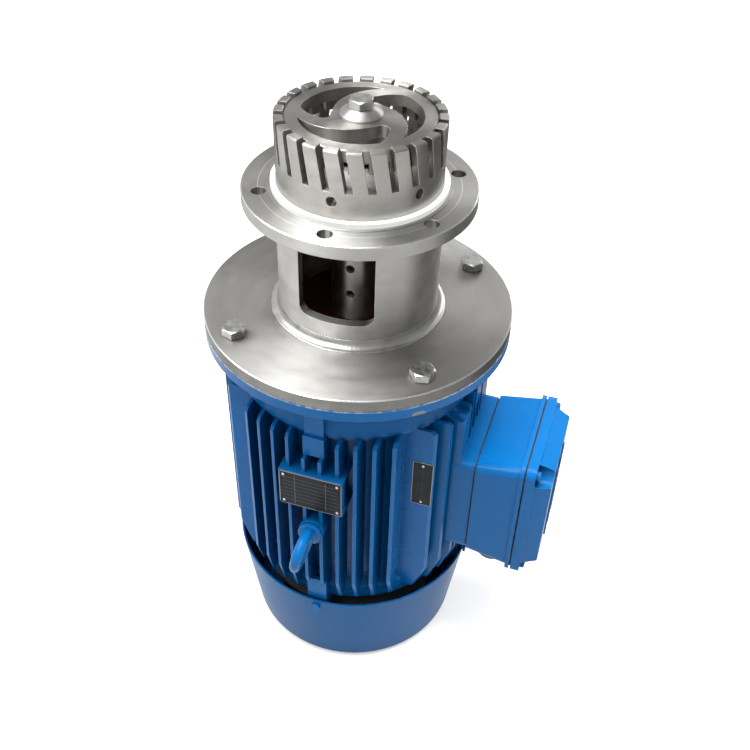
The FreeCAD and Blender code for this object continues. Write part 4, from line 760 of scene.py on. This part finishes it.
class MIXER_OT_foot_bolts(bpy.types.Operator):
    """Chamfered hexagon bolts and nuts that hold the lantern on the motor flange"""
    bl_idname = "mixer.foot_bolts"
    bl_label = "Foot bolts"

    def execute(self, context):
        sizes = context.scene.mixer_fasteners
        washer = 0.0006
        seat = level("lantern_base_plate")
        top, tail = level("foot_bolts"), level("foot_bolts", False)
        nut_low, nut_high = level("foot_nuts", False), level("foot_nuts")
        shank = sizes.foot_flats / 3
        bolts, nuts = [], []
        for corner, spin in enumerate((0.35, -0.12, 0.22, -0.3)):
            spot = at_angle(sizes.foot_circle, radians(45 + 90 * corner))
            bolts.append((*hexagon_head(sizes.foot_flats, top - seat, washer),
                          facing(UP, spot + UP * seat, spin)))
            bolts.append((*bolt_shank(shank, shank * 0.9, tail, seat), Matrix.Translation(spot)))
            nuts.append((*hexagon_head(sizes.foot_flats, nut_high - nut_low, washer),
                         facing(-UP, spot + UP * nut_high, -spin)))
        for name, shapes, node in (("foot_bolt_heads", bolts, "foot_bolts"),
                                   ("foot_nut_hexagons", nuts, "foot_nuts")):
            finish_piece(gather(name, shapes, 25), "bolt_stainless", "housing", node)
        return {"FINISHED"}


class MIXER_OT_rotor_bolt(bpy.types.Operator):
    """Chamfered hexagon bolt on the rotor's cap"""
    bl_idname = "mixer.rotor_bolt"
    bl_label = "Rotor bolt"

    def execute(self, context):
        flats = context.scene.mixer_fasteners.rotor_flats
        seat, top, tail = level("rotor_cap_washer"), level("rotor_bolt"), level("rotor_bolt", False)
        shank, washer = 0.007, 0.0005
        piece = gather("rotor_bolt_head", [
            (*hexagon_head(flats, top - seat, washer), facing(UP, UP * seat, radians(12))),
            (*bolt_shank(shank, shank - 0.001, tail, seat), Matrix.Identity(4)),
        ], 25)
        finish_piece(piece, "bolt_stainless", "rotating_assembly", "rotor_bolt")
        return {"FINISHED"}


class MIXER_OT_grub_screws(bpy.types.Operator):
    """Slotted screws sunk in the stator ring and the coupling sleeve"""
    bl_idname = "mixer.grub_screws"
    bl_label = "Grub screws"

    def execute(self, context):
        low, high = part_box("stator_grub_screws")
        middle = UP * ((low.z + high.z) / 2)
        clearance = 0.00015
        radius = (high.z - low.z) / 2 - clearance
        length, sunk = 0.0066, 0.0042    # of the hole, and how deep the screw lies in it
        screws = []
        for number in range(6):
            out = at_angle(1, radians(-90 + 60 * number))
            screws.append((
                *slotted_head(radius, length - sunk, slot_width=0.0016, slot_depth=0.0012),
                facing(out, out * (high.y - length) + middle, 0.5 + 1.1 * number)))
        piece = gather("stator_screw_faces", screws, 30)
        finish_piece(piece, "bolt_stainless", "housing", "stator_grub_screws")
        low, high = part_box("sleeve_set_screws")
        radius, sunk, inset = 0.0049, 0.0026, 0.005
        screws = [
            (*slotted_head(radius, high.y - low.y - sunk, slot_width=0.0018, slot_depth=0.0018),
             facing(FRONT, (0, high.y, z), 0.7))
            for z in (low.z + inset, high.z - inset)]
        piece = gather("sleeve_screw_faces", screws, 30)
        finish_piece(piece, "dark_screws", "rotating_assembly", "sleeve_set_screws")
        return {"FINISHED"}


class MIXER_OT_lid_screws(bpy.types.Operator):
    """Cross-headed screws in the corner pockets of the terminal lid"""
    bl_idname = "mixer.lid_screws"
    bl_label = "Lid screws"

    def execute(self, context):
        low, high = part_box("lid_screws")
        inset, head, shank = 0.0055, 0.0054, 0.0029
        seat = high.x - 0.006
        length = seat - low.x
        screws = []
        for y in (low.y + inset, high.y - inset):
            for z in (low.z + inset, high.z - inset):
                screws.append((
                    *slotted_head(head, 0.0045, slot_width=0.0012, slot_depth=0.0014,
                                  dome=0.0013, cross=True),
                    facing(SIDE, (seat, y, z), 0.4 + 30 * y)))
                screws.append((
                    *lathe([(AXIS_HOLE, 0), (shank, 0), (shank, length), (AXIS_HOLE, length)], 24),
                    facing(SIDE, (low.x, y, z))))
        finish_piece(gather("lid_screw_heads", screws, 30), "enamel", "housing", "lid_screws")
        return {"FINISHED"}


class MIXER_OT_rivets(bpy.types.Operator):
    """Domed rivets that hold the two rating plates"""
    bl_idname = "mixer.rivets"
    bl_label = "Plate rivets"

    def execute(self, context):
        inset = 0.0017
        dome = [(inset, 0.0), (inset, 0.0002), (0.0015, 0.0006), (0.0011, 0.0009),
                (0.0006, 0.00105), (0.0001, 0.0011)]
        for name, node, columns in (("nameplate_rivet_domes", "nameplate_rivets", 2),
                                    ("side_plate_rivet_domes", "side_plate_rivets", 1)):
            low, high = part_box(node)
            across = ((low.x + inset, high.x - inset) if columns == 2
                      else ((low.x + high.x) / 2,))
            shapes = [(*lathe(dome, 24), facing(FRONT, (x, high.y, z)))
                      for x in across for z in (low.z + inset, high.z - inset)]
            finish_piece(gather(name, shapes, 60), "plated_steel", "housing", node)
        return {"FINISHED"}


class MIXER_OT_lifting_eye(bpy.types.Operator):
    """Forged lifting eye, slightly turned, whose collar meets its boss with a fine gap"""
    bl_idname = "mixer.lifting_eye"
    bl_label = "Lifting eye"

    def execute(self, context):
        sizes = context.scene.mixer_fasteners
        low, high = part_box("lifting_eyebolt")
        middle = Vector(((low.x + high.x) / 2, 0, (low.z + high.z) / 2))
        collar = (high.x - low.x) / 2
        seat = high.y - sizes.eye_thread
        wire, thread = sizes.eye_wire, 0.006
        neck, sink = 0.0065, 0.001    # from the seat to the ring, and the ring's reach into it
        ring = (seat - neck - low.y) / 2 - wire + sink
        stem = lathe([
            (AXIS_HOLE, -sizes.eye_thread), (thread, -sizes.eye_thread), (thread, 0.0),
            (collar - 0.0016, 0.0), (collar - 0.0012, 0.0006), (collar - 0.0003, 0.0010),
            (collar, 0.0018), (collar, 0.0060), (collar - 0.0004, 0.0068),
            (collar - 0.0014, 0.0072), (wire + 0.0030, 0.0074), (wire + 0.0012, 0.0084),
            (wire * 0.95, 0.0110), (wire * 0.9, 0.0125), (AXIS_HOLE, 0.0125)])
        around, across = 72, 28
        verts, faces = [], []
        for angle in steps_round(around):
            thick = wire * (1 + 0.12 * max(-cos(angle), 0) ** 3)    # more towards the collar
            for lean in steps_round(across):
                out = ring + thick * cos(lean)
                verts.append(Vector((thick * sin(lean), out * sin(angle), out * cos(angle))))
        for step in range(around):
            for turn in range(across):
                after = (turn + 1) % across
                row, further = step * across, (step + 1) % around * across
                faces.append((row + turn, row + after, further + after, further + turn))
        outward = facing(FRONT, middle + Vector((0, seat, 0)))
        spin = Matrix.Rotation(-sizes.eye_turn, 4, "Z")
        lift = Matrix.Translation((0, 0, seat - (low.y + ring + wire)))
        piece = gather("forged_lifting_eye", [
            (*stem, outward), (verts, faces, outward @ spin @ lift)], 40)
        finish_piece(piece, "enamel", "housing", "lifting_eyebolt")
        return {"FINISHED"}


class MIXER_OT_weld_beads(bpy.types.Operator):
    """Dressed weld fillets at both ends of the lantern tube"""
    bl_idname = "mixer.weld_beads"
    bl_label = "Weld beads"

    def execute(self, context):
        ripples = context.scene.mixer_fasteners.bead_ripples
        low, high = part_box("lantern_tube")
        tube, bite = high.x, 0.0005    # the tube's wall, and how far a bead reaches into it
        foot_leg, flange_leg = 0.0098, 0.0057
        around, rows = ripples * 5, 9
        top = (rows - 1) * around
        inner = rows * around
        shapes = []
        for start, way, leg in ((low.z, 1, foot_leg), (high.z, -1, flange_leg)):
            verts = []
            for row in range(rows):
                turn = pi / 2 * row / (rows - 1)
                for angle in steps_round(around):
                    wander = 1 + 0.015 * sin(7 * angle) + 0.01 * sin(19 * angle + 1)
                    wave = sin(ripples * angle + 1.5 * turn) * sin(2 * turn)
                    ripple = 0.00006 + 0.00004 * wave
                    out = tube + leg * wander * (1 - sin(turn)) + ripple
                    rise = leg * wander * (1 - cos(turn)) + ripple
                    verts.append(at_angle(out, angle, start + way * rise))
            verts.extend(at_angle(tube - bite, angle, start) for angle in steps_round(around))
            faces = rings_to_faces(rows, around)
            for step in range(around):
                after = (step + 1) % around
                faces.append((inner + step, inner + after, after, step))
                faces.append((top + step, top + after, inner + after, inner + step))
            shapes.append((verts, faces, Matrix.Identity(4)))
        piece = gather("dressed_weld_beads", shapes, 80)
        finish_piece(piece, "weld_metal", "housing", "lantern_weld_beads")
        return {"FINISHED"}


class MIXER_OT_stage(bpy.types.Operator):
    """Pale floor, soft lamps and the camera"""
    bl_idname = "mixer.stage"
    bl_label = "Stage"

    def execute(self, context):
        make_floor()
        make_world(context.scene)
        make_lamps()
        make_camera(context.scene)
        context.scene.view_settings.view_transform = "Standard"
        return {"FINISHED"}


def sees_backdrop(tree):
    """A mask of camera, glossy and transmission rays."""
    path = add(tree, "ShaderNodeLightPath")
    seen = math_node(tree, "MAXIMUM", path.outputs["Is Camera Ray"], path.outputs["Is Glossy Ray"])
    return math_node(tree, "MAXIMUM", seen, path.outputs["Is Transmission Ray"])


def make_floor():
    """A pale floor that keeps the shadow, and is darker behind in reflections."""
    bpy.ops.mesh.primitive_grid_add(x_subdivisions=2, y_subdivisions=2, size=14)
    floor = bpy.context.object
    floor.name = "studio_floor"
    material = bpy.data.materials.new("studio_floor")
    material.use_nodes = True
    tree = material.node_tree
    shader = tree.nodes["Principled BSDF"]
    shader.inputs["Roughness"].default_value = 0.9
    shader.inputs["Specular IOR Level"].default_value = 0.1
    shader.inputs["Emission Color"].default_value = (1, 1, 1, 1)
    path = add(tree, "ShaderNodeLightPath")
    place = add(tree, "ShaderNodeNewGeometry").outputs["Position"]
    x, y, _ = split(tree, place)
    rear = math_node(tree, "ADD", y, times(tree, x, 0.30))
    shade = times(tree, path.outputs["Is Glossy Ray"], span(tree, rear, 0.25, 0.65))
    base = blend_colour(tree, path.outputs["Is Camera Ray"], (0.40, 0.40, 0.40),
                        (0.72, 0.72, 0.72))
    base = blend_colour(tree, shade, base, (0.10, 0.10, 0.10))
    tree.links.new(base, shader.inputs["Base Color"])
    reach = add(tree, "ShaderNodeVectorMath", operation="LENGTH")
    tree.links.new(place, reach.inputs[0])
    under_cowl, past_cowl = 0.120, 0.138    # no glow under the mixer itself
    lit = times(tree, math_node(tree, "SUBTRACT", 1.0, shade),
                span(tree, reach.outputs["Value"], under_cowl, past_cowl))
    glow = math_node(tree, "ADD", times(tree, sees_backdrop(tree), 0.60),
                     times(tree, path.outputs["Is Glossy Ray"], 0.15))
    tree.links.new(times(tree, glow, lit), shader.inputs["Emission Strength"])
    floor.data.materials.append(material)


def make_world(scene):
    """A plain pale light, seen as white, with a darker side in reflections."""
    world = bpy.data.worlds.new("studio_world")
    scene.world = world
    world.use_nodes = True
    tree = world.node_tree
    tree.nodes.clear()
    out = add(tree, "ShaderNodeOutputWorld", 600)
    plain = add(tree, "ShaderNodeBackground", 200)
    plain.inputs["Color"].default_value = (1, 1, 1, 1)
    plain.inputs["Strength"].default_value = 0.58
    white = add(tree, "ShaderNodeBackground", 200, -200)
    white.inputs["Color"].default_value = (1, 1, 1, 1)
    path = add(tree, "ShaderNodeLightPath")
    across = split(tree, add(tree, "ShaderNodeTexCoord").outputs["Generated"])[0]
    shade = times(tree, path.outputs["Is Glossy Ray"], span(tree, across, -0.8, 0.9, 0.30, 0.75))
    tree.links.new(math_node(tree, "SUBTRACT", 1.0, shade), white.inputs["Strength"])
    mix = add(tree, "ShaderNodeMixShader", 400)
    for socket, source in zip(mix.inputs, (sees_backdrop(tree), plain.outputs[0],
                                           white.outputs[0])):
        tree.links.new(source, socket)
    tree.links.new(mix.outputs[0], out.inputs["Surface"])


def make_lamps():
    """Soft lamps, some of which light only, or show only in reflections."""
    target = Vector((0, 0, 0.4))
    for name, place, width, depth, power, diffuse, mirrored in (
            ("key_lamp", (-1.0, -1.15, 2.75), 1.6, 1.6, 26, True, True),
            ("top_lamp", (-0.45, -0.05, 2.5), 1.3, 1.3, 30, True, True),
            ("left_lamp", (-1.6, -0.35, 2.4), 1.5, 1.5, 24, False, True),
            ("fill_lamp", (0.5, -0.05, 2.6), 0.9, 0.9, 62, True, False),
            ("glint_lamp", (-0.6, -1.8, 2.5), 0.3, 0.3, 12, False, True),
            ("back_lamp", (0.6, 2.3, 1.5), 1.6, 0.8, 10, True, True)):
        data = bpy.data.lights.new(name, "AREA")
        data.shape = "RECTANGLE"
        data.size, data.size_y = width, depth
        data.energy = power
        lamp = bpy.data.objects.new(name, data)
        lamp.location = place
        lamp.visible_diffuse = diffuse
        lamp.visible_glossy = mirrored
        aim = target - Vector(place)
        lamp.rotation_euler = aim.to_track_quat("-Z", "Y").to_euler()
        bpy.context.scene.collection.objects.link(lamp)


def make_camera(scene):
    """The camera that took the photo, fitted to the mixer's flange and bolts."""
    view = scene.mixer_camera
    lean = view.elevation
    back = Vector((0, -cos(lean), sin(lean)))
    right = SIDE
    up = Vector((0, sin(lean), cos(lean)))
    place = back * view.distance + right * view.side_shift + up * view.rise
    place.z += level("lantern_base_plate")
    rolled_right = right * cos(view.roll) + up * sin(view.roll)
    rolled_up = up * cos(view.roll) - right * sin(view.roll)
    turn = Matrix((rolled_right, rolled_up, back)).transposed().to_4x4()
    data = bpy.data.cameras.new("photo_camera")
    data.sensor_width = 36
    data.lens = view.lens
    data.clip_end = 50
    camera = bpy.data.objects.new("photo_camera", data)
    camera.matrix_world = (Matrix.Rotation(view.azimuth, 4, "Z") @ Matrix.Translation(place) @ turn)
    scene.collection.objects.link(camera)
    scene.camera = camera


class MIXER_PT_panel(bpy.types.Panel):
    """Steps that dress the mixer"""
    bl_idname = "MIXER_PT_panel"
    bl_label = "High Shear Mixer"
    bl_space_type = "VIEW_3D"
    bl_region_type = "UI"
    bl_category = "Mixer"

    def draw(self, context):
        column = self.layout.column()
        for operator in OPERATORS:
            column.operator(operator.bl_idname)
        scene = context.scene
        for settings in (scene.mixer_paint, scene.mixer_camera, scene.mixer_fasteners):
            for name in settings.__annotations__:
                column.prop(settings, name)


OPERATORS = (MIXER_OT_stage, MIXER_OT_finishes, MIXER_OT_foot_bolts, MIXER_OT_rotor_bolt,
             MIXER_OT_grub_screws, MIXER_OT_lid_screws, MIXER_OT_rivets, MIXER_OT_lifting_eye,
             MIXER_OT_weld_beads)
CLASSES = (MixerCameraSettings, MixerPaintSettings, MixerFastenerSettings, *OPERATORS,
           MIXER_PT_panel)


def register():
    for item in CLASSES:
        bpy.utils.register_class(item)
    bpy.types.Scene.mixer_camera = bpy.props.PointerProperty(type=MixerCameraSettings)
    bpy.types.Scene.mixer_paint = bpy.props.PointerProperty(type=MixerPaintSettings)
    bpy.types.Scene.mixer_fasteners = bpy.props.PointerProperty(type=MixerFastenerSettings)


def unregister():
    for name in ("mixer_camera", "mixer_paint", "mixer_fasteners"):
        delattr(bpy.types.Scene, name)
    for item in reversed(CLASSES):
        bpy.utils.unregister_class(item)


def main():
    """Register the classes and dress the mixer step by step."""
    register()
    bpy.ops.mixer.stage()
    bpy.ops.mixer.finishes()
    bpy.ops.mixer.foot_bolts()
    bpy.ops.mixer.rotor_bolt()
    bpy.ops.mixer.grub_screws()
    bpy.ops.mixer.lid_screws()
    bpy.ops.mixer.rivets()
    bpy.ops.mixer.lifting_eye()
    bpy.ops.mixer.weld_beads()


if __name__ == "__main__":
    main()
